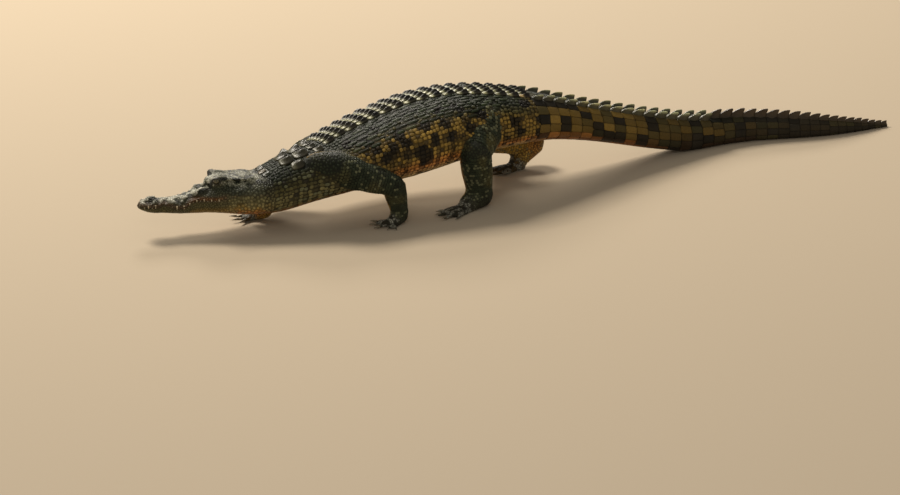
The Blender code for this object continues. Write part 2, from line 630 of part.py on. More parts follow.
# --------------------------------------------------------------------- the whole
def build():
    """Build, part and place the crocodile."""
    for old in list(bpy.data.objects):
        bpy.data.objects.remove(old, do_unlink=True)
    scene = bpy.context.scene
    model = bpy.data.collections.new("crocodile")
    cutters = bpy.data.collections.new("cutters")
    scene.collection.children.link(model)
    scene.collection.children.link(cutters)

    body = body_solid("body", model)
    grown = body_solid("body_grown", cutters, GAP * 3)
    combine(body, head_details(model) + crest(model), "UNION")
    floor = block("under_floor", (-1, -2, -0.3), (1, 2, 0.0), cutters)

    eyes = []
    r = EYE["radius"]
    for side, label in ((1, "left"), (-1, "right")):
        eyes.append(head_ball("eye_" + label, EYE["at"], (r, r, r), side, model, 10, 8))
        room = r + GAP * 1.3
        combine(body, [head_ball("socket", EYE["at"], (room, room, room), side, cutters, 10, 8)], "DIFFERENCE")
        eyes[-1].data.materials.append(material(CORNEA))

    slabs = []
    for y in PART_Y.values():
        row, ahead = body_at(y), heading(y)
        turn = Matrix.Translation((row[1], y, 0.15)) @ Matrix.Rotation(
            math.atan2(-ahead.x, ahead.y), 4, "Z")
        slabs.append(block("part_cut", (-0.3, -GAP / 2, -0.3), (0.3, GAP / 2, 0.3), cutters, turn))
    slabs.append(mouth_ribbon(cutters))
    for slab in slabs:
        combine(body, [slab], "DIFFERENCE")
    combine(body, [floor], "DIFFERENCE")

    limits = list(PART_Y.items())

    def body_name(middle):
        if middle.y < PART_Y["head"] and middle.z < 0.098:
            return "lower_jaw"
        for label, y in limits:
            if middle.y < y:
                return label
        return "tail_5"

    made = keep_parts(body, body_name, model, HIDE)

    for label in LIMBS:
        for which in ("left", "right"):
            made += limb(label, which, grown, model, cutters)
    made += eyes
    bpy.data.objects.remove(grown, do_unlink=True)

    corners = [v.co for piece in made for v in piece.data.vertices]
    middle, size = middle_of(corners)
    shift = Vector((-middle.x, -middle.y, -(middle.z - size.z / 2)))
    for piece in made:
        piece.data.transform(Matrix.Translation(shift))
    print("shift", tuple(round(v, 5) for v in shift), "size", tuple(round(v, 4) for v in size))


build()
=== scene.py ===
"""A walking Nile crocodile, life size, as a museum model: one skin under solid scales.

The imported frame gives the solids.  Rays read the trunk, neck, head and tail from them as one
smooth tube with places by running length and girth; the limbs are rebuilt round their bones and
joined to it.  Every scale, scute, crest blade and claw is then laid on that one skin.
Metres, head toward -Y, the animal's left side at +X, floor at z = 0.
"""
import logging
import math
from dataclasses import dataclass, field, replace
from enum import Enum
from itertools import product
from typing import Callable

import bpy
import bmesh
import numpy as np
from mathutils import Matrix, Vector
from mathutils.bvhtree import BVHTree
from mathutils.kdtree import KDTree


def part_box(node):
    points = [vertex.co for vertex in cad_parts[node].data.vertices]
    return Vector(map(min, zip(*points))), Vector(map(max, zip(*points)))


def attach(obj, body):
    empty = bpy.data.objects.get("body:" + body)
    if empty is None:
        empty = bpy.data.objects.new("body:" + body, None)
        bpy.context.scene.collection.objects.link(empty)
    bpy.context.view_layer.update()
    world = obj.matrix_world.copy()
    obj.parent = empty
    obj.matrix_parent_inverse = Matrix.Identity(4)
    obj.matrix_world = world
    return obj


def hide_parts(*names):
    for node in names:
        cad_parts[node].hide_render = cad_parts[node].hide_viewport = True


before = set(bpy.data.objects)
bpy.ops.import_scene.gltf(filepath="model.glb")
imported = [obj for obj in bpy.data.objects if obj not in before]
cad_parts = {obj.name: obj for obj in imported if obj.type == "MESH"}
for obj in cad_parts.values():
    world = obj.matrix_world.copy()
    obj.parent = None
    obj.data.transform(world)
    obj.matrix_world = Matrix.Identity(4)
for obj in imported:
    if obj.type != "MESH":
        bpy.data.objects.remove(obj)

Array = np.ndarray
Piece = bpy.types.Object
Material = bpy.types.Material
Tree = bpy.types.NodeTree
Socket = bpy.types.NodeSocket
LOG = logging.getLogger("crocodile")
BODY_NODES = ("head", "lower_jaw", "neck", "chest", "belly", "pelvis",
              "tail_1", "tail_2", "tail_3", "tail_4", "tail_5")
SEED = 7
NAPE_START = 0.40      # running length where the head ends and the neck's scales begin


class Side(Enum):
    """A flank of the animal, as the sign of its X."""

    LEFT = 1
    RIGHT = -1


class Zone(Enum):
    """A pair of legs."""

    HIND = 1
    FORE = 2


# ------------------------------------------------------------------ small helpers
def deselect() -> None:
    """Leave edit mode and select nothing."""
    if bpy.context.object and bpy.context.object.mode != "OBJECT":
        bpy.ops.object.mode_set(mode="OBJECT")
    bpy.ops.object.select_all(action="DESELECT")


def activate(piece: Piece) -> None:
    """Make one piece the only selected and the active one."""
    deselect()
    piece.select_set(True)
    bpy.context.view_layer.objects.active = piece


def apply_modifier(piece: Piece, kind: str, **settings: object) -> None:
    """Add a modifier with its settings and apply it at once.

    Args:
        piece: The mesh object.
        kind: Blender's modifier type.
        settings: The modifier's properties by name.
    """
    activate(piece)
    step = piece.modifiers.new(kind.lower(), kind)
    for key, value in settings.items():
        setattr(step, key, value)
    bpy.ops.object.modifier_apply(modifier=step.name)


def ease(low: float, high: float, at: Array) -> Array:
    """A soft ramp from 0 at low to 1 at high."""
    t = np.clip((np.asarray(at, float) - low) / (high - low), 0.0, 1.0)
    return t * t * (3.0 - 2.0 * t)


def hump(at: Array, middle: float, reach: float) -> Array:
    """A bell of height 1 round the middle, reach wide."""
    return np.exp(-((np.asarray(at, float) - middle) / reach) ** 2)


def between(ends: tuple[float, float], share: float) -> float:
    """A value part of the way from one end to the other."""
    return ends[0] + (ends[1] - ends[0]) * share


def unit(vectors: Array) -> Array:
    """Vectors scaled to length 1."""
    return vectors / np.maximum(np.linalg.norm(vectors, axis=-1, keepdims=True), 1e-9)


def open_mesh(piece: Piece | None = None) -> None:
    """Enter edit mode on a piece, or on the active one, with everything selected."""
    if piece:
        activate(piece)
    bpy.ops.object.mode_set(mode="EDIT")
    bpy.ops.mesh.select_all(action="SELECT")


def close_mesh(outward: bool = False) -> None:
    """Leave edit mode, after turning all normals outward if asked."""
    if outward:
        bpy.ops.mesh.select_all(action="SELECT")
        bpy.ops.mesh.normals_make_consistent(inside=False)
    bpy.ops.object.mode_set(mode="OBJECT")


def primitive(add: Callable, **settings: object) -> Piece:
    """Add one of Blender's primitives, with nothing else selected."""
    deselect()
    add(**settings)
    return bpy.context.object


def new_object(name: str, data: bpy.types.ID) -> Piece:
    """Put a new object into the scene."""
    made = bpy.data.objects.new(name, data)
    bpy.context.scene.collection.objects.link(made)
    return made


def joined(pieces: list[Piece], name: str) -> Piece:
    """Join pieces into one of the name given."""
    activate(pieces[0])
    for piece in pieces:
        piece.select_set(True)
    bpy.ops.object.join()
    bpy.context.object.name = name
    return bpy.context.object


def vectors_in(run: bpy.types.bpy_prop_collection, name: str) -> Array:
    """One vector property of everything in a mesh's collection."""
    flat = np.empty(len(run) * 3, np.float32)
    run.foreach_get(name, flat)
    return flat.reshape(-1, 3)


def points_of(piece: Piece) -> Array:
    """A mesh's points."""
    return vectors_in(piece.data.vertices, "co").astype(float)


def normals_of(piece: Piece) -> Array:
    """A mesh's vertex normals."""
    return vectors_in(piece.data.vertex_normals, "vector")


def move_points(piece: Piece, points: Array) -> None:
    """Move a mesh's vertices to the points given."""
    piece.data.vertices.foreach_set("co", np.asarray(points, np.float32).ravel())
    piece.data.update()


def ray_tree(*pieces: Piece) -> BVHTree:
    """A tree for rays against one or more meshes."""
    points, faces = [], []
    for piece in pieces:
        base = len(points)
        points += [tuple(p) for p in points_of(piece)]
        faces += [tuple(base + i for i in face.vertices) for face in piece.data.polygons]
    return BVHTree.FromPolygons(points, faces)


def kd_tree(points: Array) -> KDTree:
    """A tree of points, numbered in their order."""
    tree = KDTree(len(points))
    for i, p in enumerate(points):
        tree.insert(p, i)
    tree.balance()
    return tree


def blur(values: Array, rounds: int, axis: int, closed: bool = False) -> Array:
    """Soften an array along one axis by repeated 1-2-1 means.

    Args:
        values: The array.
        rounds: How many times.
        axis: Along which axis.
        closed: Whether its ends meet.
    """
    out = np.moveaxis(values.astype(float), axis, 0).copy()
    for _ in range(rounds):
        if closed:
            out = 0.25 * np.roll(out, 1, 0) + 0.5 * out + 0.25 * np.roll(out, -1, 0)
        else:
            padded = np.concatenate((out[:1], out, out[-1:]))
            out = 0.25 * padded[:-2] + 0.5 * padded[1:-1] + 0.25 * padded[2:]
    return np.moveaxis(out, 0, axis)


def running(values: Array, reach: int, pick: Callable) -> Array:
    """The running minimum, maximum or median along the first axis."""
    padded = np.concatenate([values[:1]] * reach + [values] + [values[-1:]] * reach)
    return pick(np.stack([padded[i:i + len(values)] for i in range(2 * reach + 1)]), axis=0)


def value_noise(points: Array, scale: float, seed: int = 0) -> Array:
    """Smooth noise from -1 to 1 over points in space.

    Args:
        points: Where it is read.
        scale: The size of its lumps.
        seed: Which noise.
    """
    cell = np.asarray(points, float) / scale + seed * 17.31
    base = np.floor(cell).astype(np.int64)
    part = cell - base
    part = part * part * (3 - 2 * part)
    total = np.zeros(len(cell))
    for corner in product((0, 1), repeat=3):
        x, y, z = (base + np.array(corner)).T
        n = x * 73856093 ^ y * 19349663 ^ z * 83492791 ^ seed * 2654435
        n = (n ^ (n >> 13)) * 1274126177
        level = ((n ^ (n >> 16)) & 0xFFFF) / 32767.5 - 1.0
        total += level * np.prod([np.where(c, part[:, i], 1 - part[:, i]) for i, c in enumerate(corner)], 0)
    return total


# ------------------------------------------------------------------ the body tube
@dataclass
class BodyForm:
    """Head, neck, trunk and tail as one tube, read from the frame by rays.

    A place on it is (s, v): s runs from the snout tip along the spine, and v goes from 0 on
    the back's midline to 1 under the belly, positive on the left side.
    """

    rays: int = 160          # directions cast round each station
    half_columns: int = 56   # skin columns from back to belly on each side
    reach: float = 0.40      # how far out a ray starts
    head_step: float = 0.0024
    body_step: float = 0.0070
    head_end: float = 0.36
    coat: float = 0.0030     # how far the skin lies inside the solids
    face_coat: float = 0.0008

    def read(self) -> None:
        """Cast the rays and fill the grid of points and normals."""
        tree = ray_tree(*(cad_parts[n] for n in (*BODY_NODES, "eye_left", "eye_right")))
        low = min(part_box(n)[0].y for n in BODY_NODES)
        high = max(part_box(n)[1].y for n in BODY_NODES)
        ys = np.linspace(low + 0.0008, high - 0.0015, 460)
        spine = np.array([self._slice(tree, y) for y in ys])
        middle, half, top, bottom = (self._filled(spine[:, i]) for i in range(4))
        middle = blur(middle, 30, 0)
        lowest_top = np.where(ys > 0.0, running(top, 4, np.min), top)
        self.spine_y = ys
        self.spine_s = np.concatenate(([0.0], np.cumsum(np.hypot(np.diff(ys), np.diff(middle)))))
        centre = blur(bottom + 0.46 * (lowest_top - bottom), 20, 0)
        rise = blur(0.5 * (lowest_top - bottom), 6, 0)
        self.stations = self._station_places(self.spine_s[-1])
        runs = (middle, ys, centre, blur(half, 4, 0), rise)
        at = [np.interp(self.stations, self.spine_s, run) for run in runs]
        heading = unit(blur(np.gradient(np.stack(at[:2], 1), self.stations, axis=0), 6, 0))
        radius, ways = self._cast(tree, at, heading)
        radius = self._soften(self._without_crest(radius, at[1]))
        self._even_grid(np.stack(at[:3], 1)[:, None, :] + ways * radius[:, :, None])

    @staticmethod
    def _slice(tree: BVHTree, y: float) -> tuple[float, float, float, float]:
        """Middle, half width, top and bottom of the body at y."""
        best = (np.nan, 0.0)
        for z in np.arange(0.004, 0.36, 0.008):
            left = tree.ray_cast((0.5, y, z), (-1, 0, 0))[0]
            right = tree.ray_cast((-0.5, y, z), (1, 0, 0))[0]
            if left and right and 0.5 * (left.x - right.x) > best[1]:
                best = (0.5 * (left.x + right.x), 0.5 * (left.x - right.x))
        if math.isnan(best[0]):
            return (np.nan,) * 4
        above = tree.ray_cast((best[0], y, 0.6), (0, 0, -1))[0]
        below = tree.ray_cast((best[0], y, -0.2), (0, 0, 1))[0]
        if not above or not below:
            return (np.nan,) * 4
        return best[0], best[1], above.z, below.z

    @staticmethod
    def _filled(values: Array) -> Array:
        """A column with its missing values read from their neighbours."""
        known = ~np.isnan(values)
        return np.interp(np.arange(len(values)), np.nonzero(known)[0], values[known])

    def _station_places(self, total: float) -> Array:
        """Running lengths of the skin's rings, close on the head and wider behind."""
        places, s = [], 0.0006
        while s < total - 0.0012:
            places.append(s)
            s += self.head_step + (self.body_step - self.head_step) * float(
                ease(self.head_end, self.head_end + 0.12, s))
        return np.array(places)

    def _cast(self, tree: BVHTree, at: list[Array], heading: Array) -> tuple[Array, Array]:
        """Rays inward round every station.

        Returns:
            The radius found for each ray, and each ray's outward direction.
        """
        turn = math.pi / 2 - np.arange(self.rays) * 2 * math.pi / self.rays
        radius = np.full((len(self.stations), self.rays), np.nan)
        ways = np.zeros((len(self.stations), self.rays, 3))
        for j in range(len(self.stations)):
            side = np.array((heading[j, 1], -heading[j, 0], 0.0))
            wide, tall = max(at[3][j], 0.004), max(at[4][j], 0.004)
            way = unit(side * (np.cos(turn) * wide)[:, None]
                       + np.array((0, 0, 1.0)) * (np.sin(turn) * tall)[:, None])
            ways[j] = way
            centre = np.array([a[j] for a in at[:3]])
            for k in range(self.rays):
                start = centre + way[k] * self.reach
                distance = tree.ray_cast(tuple(start), tuple(-way[k]), self.reach)[3]
                if distance is not None:
                    radius[j, k] = self.reach - distance
        return running(np.stack([self._filled(column) for column in radius.T], 1), 2, np.median), ways

    @staticmethod
    def _without_crest(radius: Array, y: Array) -> Array:
        """The tail with its crest blades shaved off: low points joined over each blade."""
        opened = running(running(radius, 5, np.min), 5, np.max)
        tail = ease(-0.04, 0.0, y)[:, None]
        return radius + (np.minimum(opened, radius) - radius) * tail

    def _soften(self, radius: Array) -> Array:
        """Melt the facets: strongly on the body, lightly on the head."""
        light = blur(blur(radius, 5, 1, True), 2, 0)
        heavy = blur(blur(radius, 34, 1, True), 22, 0)
        body = ease(self.head_end - 0.06, self.head_end + 0.10, self.stations)[:, None]
        return light + (heavy - light) * body

    def _even_grid(self, rings: Array) -> None:
        """Respace each ring evenly by girth from back to belly, then inset it by the coat."""
        count, half = self.rays, self.half_columns
        share = np.linspace(0, 1, half + 1)
        grid = np.zeros((len(rings), 2 * half + 1, 3))
        girths = []
        for j, ring in enumerate(rings):
            sides = []
            for run in (ring[:count // 2 + 1], np.concatenate((ring[:1], ring[count // 2:][::-1]))):
                length = np.concatenate(([0], np.cumsum(np.linalg.norm(np.diff(run, axis=0), axis=1))))
                sides.append(np.stack([np.interp(share * length[-1], length, run[:, i])
                                       for i in range(3)], 1))
                girths.append(length[-1])
            grid[j, half:] = sides[0]
            grid[j, :half + 1] = sides[1][::-1]
        self.half_girth = np.array(girths).reshape(-1, 2).mean(1)
        self.grid = grid
        self._find_normals()
        depth = self.face_coat + (self.coat - self.face_coat) * ease(
            self.head_end - 0.08, self.head_end + 0.04, self.stations)
        depth = np.minimum(depth, 0.25 * self.half_girth / math.pi)
        self.grid = self.grid - self.normals * depth[:, None, None]
        self.grid[:, :, 2] = np.maximum(self.grid[:, :, 2], 0.0004)
        self._find_normals()

    def _find_normals(self) -> None:
        """Outward normals and tailward directions of the grid."""
        along = unit(np.gradient(self.grid, axis=0))
        padded = np.concatenate((self.grid[:, -2:-1], self.grid, self.grid[:, 1:2]), 1)
        across = unit(padded[:, 2:] - padded[:, :-2])
        self.normals = unit(np.cross(across, along) * -1.0)
        outward = self.grid - self.grid.mean(1, keepdims=True)
        if np.mean(np.sum(self.normals * outward, -1)) < 0:
            self.normals = -self.normals
        self.along = along

    def girth_at(self, s: Array) -> Array:
        """Length from the back's midline to the belly's, round one side, at s."""
        return np.interp(s, self.stations, self.half_girth)

    def station_of_y(self, y: float) -> float:
        """Running length of the place on the spine with this y."""
        return float(np.interp(y, self.spine_y, self.spine_s))

    def surface(self, s: Array, v: Array) -> tuple[Array, Array, Array]:
        """Points, normals and tailward directions at places (s, v)."""
        s, v = np.broadcast_arrays(np.asarray(s, float), np.asarray(v, float))
        row = np.interp(s, self.stations, np.arange(len(self.stations)))
        column = (v + 1.0) % 2.0 * self.half_columns
        j = np.clip(row.astype(int), 0, len(self.stations) - 2)
        k = np.clip(column.astype(int), 0, 2 * self.half_columns - 1)
        a, b = (row - j)[..., None], (column - k)[..., None]
        out = []
        for table in (self.grid, self.normals, self.along):
            near = table[j, k] * (1 - b) + table[j, k + 1] * b
            far = table[j + 1, k] * (1 - b) + table[j + 1, k + 1] * b
            out.append(near * (1 - a) + far * a)
        return out[0], unit(out[1]), unit(out[2])

    def locator(self) -> KDTree:
        """A tree of the grid's points, numbered row by row."""
        return kd_tree(self.grid[:, :-1].reshape(-1, 3))

    def place_of(self, number: Array) -> tuple[Array, Array]:
        """The (s, v) of the locator's points by number."""
        columns = 2 * self.half_columns
        return self.stations[number // columns], (number % columns) / self.half_columns - 1.0

    def mesh(self) -> Piece:
        """The tube as a closed mesh, drawn from a grid primitive."""
        rows, columns = len(self.stations), 2 * self.half_columns
        tube = primitive(bpy.ops.mesh.primitive_grid_add, x_subdivisions=columns, y_subdivisions=rows - 1,
                         size=1.0)
        tube.name = "skin"
        move_points(tube, self.grid.reshape(-1, 3))
        open_mesh()
        bpy.ops.mesh.remove_doubles(threshold=1e-6)
        bpy.ops.mesh.select_all(action="DESELECT")
        bpy.ops.mesh.select_non_manifold()
        bpy.ops.mesh.edge_face_add()
        close_mesh(outward=True)
        return tube


# ------------------------------------------------------------------ the limbs
MODEL_SHIFT = Vector((-0.01643, -0.02604, 0.0))   # from the part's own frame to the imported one


def placed(x: float, y: float, z: float) -> Vector:
    """A point of the part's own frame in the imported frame."""
    return Vector((x, y, z)) + MODEL_SHIFT


@dataclass(frozen=True)
class Digit:
    """One toe or finger: spread from the foot's line in degrees, length and root radius."""

    spread: float
    length: float
    radius: float
    clawed: bool


TOES = (Digit(20.0, 0.082, 0.0120, True), Digit(6.0, 0.106, 0.0130, True),
        Digit(-9.0, 0.112, 0.0125, True), Digit(-25.0, 0.098, 0.0100, False))
FINGERS = (Digit(56.0, 0.046, 0.0100, True), Digit(28.0, 0.056, 0.0100, True),
           Digit(2.0, 0.061, 0.0100, True), Digit(-26.0, 0.055, 0.0085, False),
           Digit(-56.0, 0.042, 0.0075, False))


@dataclass
class Limb:
    """One leg, rebuilt round its bones from the frame's solids."""

    name: str
    side: Side
    zone: Zone
    joints: tuple[Vector, Vector, Vector]
    radii: tuple[float, float, float]
    yaw: float
    digits: tuple[Digit, ...]
    sole: tuple[float, float]        # length and half width
    coat: float = 0.0016
    core_depth: float = 0.002        # how far the rods lie inside the coat
    voxel: float = 0.0042
    melt: int = 24

    def foot_place(self) -> Matrix:
        """The foot's own frame on the floor: +Y to the toes."""
        end = self.joints[2]
        return (Matrix.Translation((end.x, end.y, 0.0))
                @ Matrix.Rotation(math.pi + math.radians(self.yaw), 4, "Z"))

    def bones(self) -> list[tuple[Vector, Vector, float, float]]:
        """The limb's lengths down to the ball of the foot: start, end and both radii."""
        root, bend, end = self.joints
        ball = self.foot_place() @ Vector((0, self.sole[0] * 0.95, 0.016))
        r = self.radii
        return [(root, bend, r[0], r[1]), (bend, end, r[1], r[2]), (end, ball, r[2], r[2] * 0.7)]

    def digit_bones(self) -> list[tuple[Vector, Vector, float]]:
        """Each digit's root, tip and radius."""
        place, found = self.foot_place(), []
        for digit in self.digits:
            turn = math.radians(digit.spread) * self.side.value
            way = Vector((math.sin(turn), math.cos(turn), 0.0))
            root = Vector((self.sole[1] * 0.87 * math.sin(turn), self.sole[0], digit.radius * 1.05))
            tip = root + way * (digit.length - digit.radius)
            tip.z = digit.radius * 0.66
            found.append((place @ root, place @ tip, digit.radius))
        return found

    def volume(self) -> Piece:
        """The limb as one closed, softened mesh, its root deep in the body."""
        pieces = []
        for part in ("upper", "lower", "foot"):
            pieces.append(new_object("copy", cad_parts[f"{self.name}_{part}"].data.copy()))
            open_mesh(pieces[-1])
            bpy.ops.mesh.remove_doubles(threshold=1e-5)
            close_mesh()
        inset = self.coat + self.core_depth
        for start, stop, wide, narrow in self.bones():
            pieces += self._rod(start, stop, wide - inset, narrow - inset)
        limb = joined(pieces + self._muscles(), self.name)
        apply_modifier(limb, "REMESH", mode="VOXEL", voxel_size=self.voxel)
        apply_modifier(limb, "SMOOTH", factor=0.5, iterations=self.melt)
        points = points_of(limb) - normals_of(limb) * self.coat
        points[:, 2] = np.maximum(points[:, 2], 0.0006)
        move_points(limb, points)
        return limb

    @staticmethod
    def _rod(start: Vector, stop: Vector, wide: float, narrow: float) -> list[Piece]:
        """A tapered core between two joints, with a ball at its start.

        Args:
            start, stop: The joints.
            wide, narrow: The radii there.
        """
        run = stop - start
        return [primitive(bpy.ops.mesh.primitive_cone_add, vertices=24, radius1=wide, radius2=narrow,
                          depth=run.length, location=(start + stop) / 2,
                          rotation=run.to_track_quat("Z", "Y").to_euler()),
                primitive(bpy.ops.mesh.primitive_uv_sphere_add, segments=20, ring_count=12, radius=wide,
                          location=start)]

    def _muscles(self) -> list[Piece]:
        """Fleshy swellings: calf or forearm behind the bone, thigh before and behind."""
        root, bend, end = self.joints
        made = []
        upper, lower = bend - root, end - bend
        for middle, way, wide, share in ((bend + lower * 0.32, lower, self.radii[1] * 0.96, 0.50),
                                         (root + upper * 0.50, upper, self.radii[0] * 0.90, 0.62),
                                         (root + upper * 0.02, upper, self.radii[0] * 1.08, 0.75)):
            swell = primitive(bpy.ops.mesh.primitive_uv_sphere_add, segments=20, ring_count=14, radius=1.0)
            turn = way.to_track_quat("Z", "Y").to_matrix().to_4x4()
            swell.data.transform(Matrix.Translation(middle) @ turn
                                 @ Matrix.Diagonal((wide, wide, way.length * share, 1.0)))
            made.append(swell)
        return made


def limbs() -> list[Limb]:
    """The four legs, from the joints of the walking stance."""
    hind, fore = (0.070, 0.050, 0.042), (0.050, 0.0365, 0.0275)
    return [
        Limb("hind_left", Side.LEFT, Zone.HIND,
             (placed(0.072, -0.168, 0.230), placed(0.166, -0.248, 0.180), placed(0.152, -0.222, 0.045)),
             hind, 13.0, TOES, (0.068, 0.032)),
        Limb("hind_right", Side.RIGHT, Zone.HIND,
             (placed(-0.070, -0.120, 0.225), placed(-0.158, -0.010, 0.102), placed(-0.108, 0.122, 0.080)),
             hind, 8.0, TOES, (0.068, 0.032)),
        Limb("front_left", Side.LEFT, Zone.FORE,
             (placed(0.100, -0.672, 0.178), placed(0.172, -0.535, 0.130), placed(0.163, -0.508, 0.034)),
             fore, 12.0, FINGERS, (0.038, 0.028)),
        Limb("front_right", Side.RIGHT, Zone.FORE,
             (placed(-0.105, -0.668, 0.168), placed(-0.152, -0.762, 0.088), placed(-0.084, -0.838, 0.032)),
             fore, -34.0, FINGERS, (0.038, 0.028)),
    ]


# ------------------------------------------------------------------ the head's own frame
@dataclass(frozen=True)
class HeadFrame:
    """The skull's own axes: sideways to its left, forward to the snout, and height."""

    back: Vector = placed(-0.030, -0.900, 0.0)
    turn: float = math.radians(17.0)

    def axes(self) -> tuple[Array, Array]:
        """Sideways and forward directions."""
        c, s = math.cos(self.turn), math.sin(self.turn)
        return np.array((c, -s, 0.0)), np.array((-s, -c, 0.0))

    def inside(self, points: Array) -> tuple[Array, Array, Array]:
        """Sideways, forward and height of points."""
        left, ahead = self.axes()
        away = points - np.array(self.back)
        return away @ left, away @ ahead, points[:, 2]

    def point(self, sideways: float, forward: float, height: float) -> Array:
        """A place in the head brought into the model."""
        left, ahead = self.axes()
        return np.array(self.back) + left * sideways + ahead * forward + np.array((0, 0, height))


SKULL = HeadFrame()
# Mouth line, forward and height, from the snout tip to the jaw's corner
MOUTH = ((0.352, 0.1000), (0.325, 0.0975), (0.307, 0.0970), (0.290, 0.0990), (0.278, 0.1020),
         (0.262, 0.0965), (0.243, 0.0905), (0.222, 0.0890), (0.209, 0.0970), (0.196, 0.1070),
         (0.175, 0.1115), (0.150, 0.1110), (0.120, 0.1110), (0.095, 0.1190), (0.071, 0.1290))
EYE_PLACE = (0.0400, 0.1215, 0.1690)    # the eyeball's middle in the head: sideways, forward, height


def mouth_height(forward: Array) -> Array:
    """Height of the closed mouth's line at a forward place."""
    line = MOUTH[::-1]
    return np.interp(forward, [p[0] for p in line], [p[1] for p in line])


# ------------------------------------------------------------------ the skin
@dataclass
class Skin:
    """The one skin over body, head and limbs, with the head's folds."""

    form: BodyForm
    legs: list[Limb]
    fillet_reach: float = 0.078
    fillet_rounds: int = 110

    def build(self) -> Piece:
        """Join the tube and the limbs and soften their roots."""
        self.skin = self.form.mesh()
        tube = ray_tree(self.skin)
        self.leg_trees: dict[str, BVHTree] = {}
        for leg in self.legs:
            volume = leg.volume()
            self.leg_trees[leg.name] = ray_tree(volume)
            apply_modifier(self.skin, "BOOLEAN", operation="UNION", solver="EXACT", object=volume)
            bpy.data.objects.remove(volume, do_unlink=True)
            LOG.info("joined %s to the skin", leg.name)
        apply_modifier(self.skin, "TRIANGULATE", min_vertices=5)
        self._fillet(tube)
        self.refresh()
        return self.skin

    def refresh(self) -> None:
        """Read the skin's ray tree again after its points have moved."""
        self.tree = ray_tree(self.skin)

    def _fillet(self, tube: BVHTree) -> None:
        """Soften the skin round each limb's root."""
        points = points_of(self.skin)
        near = [i for i, p in enumerate(points)
                if p[1] > -0.9 and tube.find_nearest(p, 0.001)[0] is not None
                and any(t.find_nearest(p, 0.001)[0] is not None for t in self.leg_trees.values())]
        seam = kd_tree(points[near])
        group = self.skin.vertex_groups.new(name="fillet")
        for i, p in enumerate(points):
            distance = seam.find(p)[2]
            if distance is not None and distance < self.fillet_reach:
                group.add([i], 1.0 - distance / self.fillet_reach, "REPLACE")
        apply_modifier(self.skin, "SMOOTH", factor=0.5, iterations=self.fillet_rounds,
                       vertex_group="fillet")
        self.skin.vertex_groups.clear()


# ------------------------------------------------------------------ scale shapes
@dataclass(frozen=True)
class Scale:
    """A scale modelled once: x across, y to the tail, z out of the skin, all about 1 long."""

    points: Array
    triangles: Array
    lift: Array
    highlight_share: Array       # how far each point takes the painted highlight of a scale's highest part


def keep_shape(lift_from: float = -0.2) -> Scale:
    """Take the active object as a scale shape and remove it.

    Args:
        lift_from: The height that counts as the bottom of the groove.
    """
    piece = bpy.context.object
    open_mesh()
    bpy.ops.mesh.normals_make_consistent(inside=False)
    bpy.ops.mesh.quads_convert_to_tris()
    close_mesh()
    points, faces = points_of(piece), np.array([tuple(p.vertices) for p in piece.data.polygons])
    bpy.data.objects.remove(piece, do_unlink=True)
    top = points[:, 2].max()
    lift = np.clip((points[:, 2] - lift_from) / (top - lift_from), 0.0, 1.0)
    # the highest part of each scale is where its painted highlight goes
    return Scale(points, faces, lift, ease(0.6, 1.0, lift))


def rounded(x: Array, y: Array, square: float) -> tuple[Array, Array]:
    """How far out a squarish outline lies toward each point, and each point's direction."""
    turn = np.arctan2(y, x)
    return (np.abs(np.cos(turn)) ** square + np.abs(np.sin(turn)) ** square) ** (-1 / square), turn


def open_top(piece: Piece) -> None:
    """Enter edit mode with only the faces that look up selected."""
    open_mesh(piece)
    bpy.ops.mesh.select_all(action="DESELECT")
    shell = bmesh.from_edit_mesh(piece.data)
    for face in shell.faces:
        face.select = face.normal.z > 0.9
    bmesh.update_edit_mesh(piece.data)


def pad(sides: int, square: float, shoulder: float = 0.14, crown: float = 0.25) -> Scale:
    """A low cushion-shaped scale.

    Args:
        sides: Corners of its outline.
        square: 2 is round, more is squarer.
        shoulder: How wide the rounded rim is.
        crown: How much the middle stands above the rim.
    """
    piece = primitive(bpy.ops.mesh.primitive_cylinder_add, vertices=sides, radius=0.5, depth=1.0,
                      location=(0, 0, 0))
    open_top(piece)
    bpy.ops.mesh.inset(thickness=shoulder, depth=crown)
    bpy.ops.mesh.poke()
    close_mesh()
    points = points_of(piece)
    out, _ = rounded(points[:, 0], points[:, 1], square)
    points[:, :2] *= out[:, None]
    points[:, 2] += 0.10
    middle = np.hypot(points[:, 0], points[:, 1]) < 0.05
    points[middle & (points[:, 2] > 0), 2] += 0.12
    move_points(piece, points)
    return keep_shape()


def bead(sides: int = 7) -> Scale:
    """A small low granule."""
    open_top(primitive(bpy.ops.mesh.primitive_cone_add, vertices=sides, radius1=0.5, radius2=0.33,
                       depth=1.0, location=(0, 0, 0.2)))
    bpy.ops.mesh.poke(offset=0.22)
    close_mesh()
    return keep_shape()


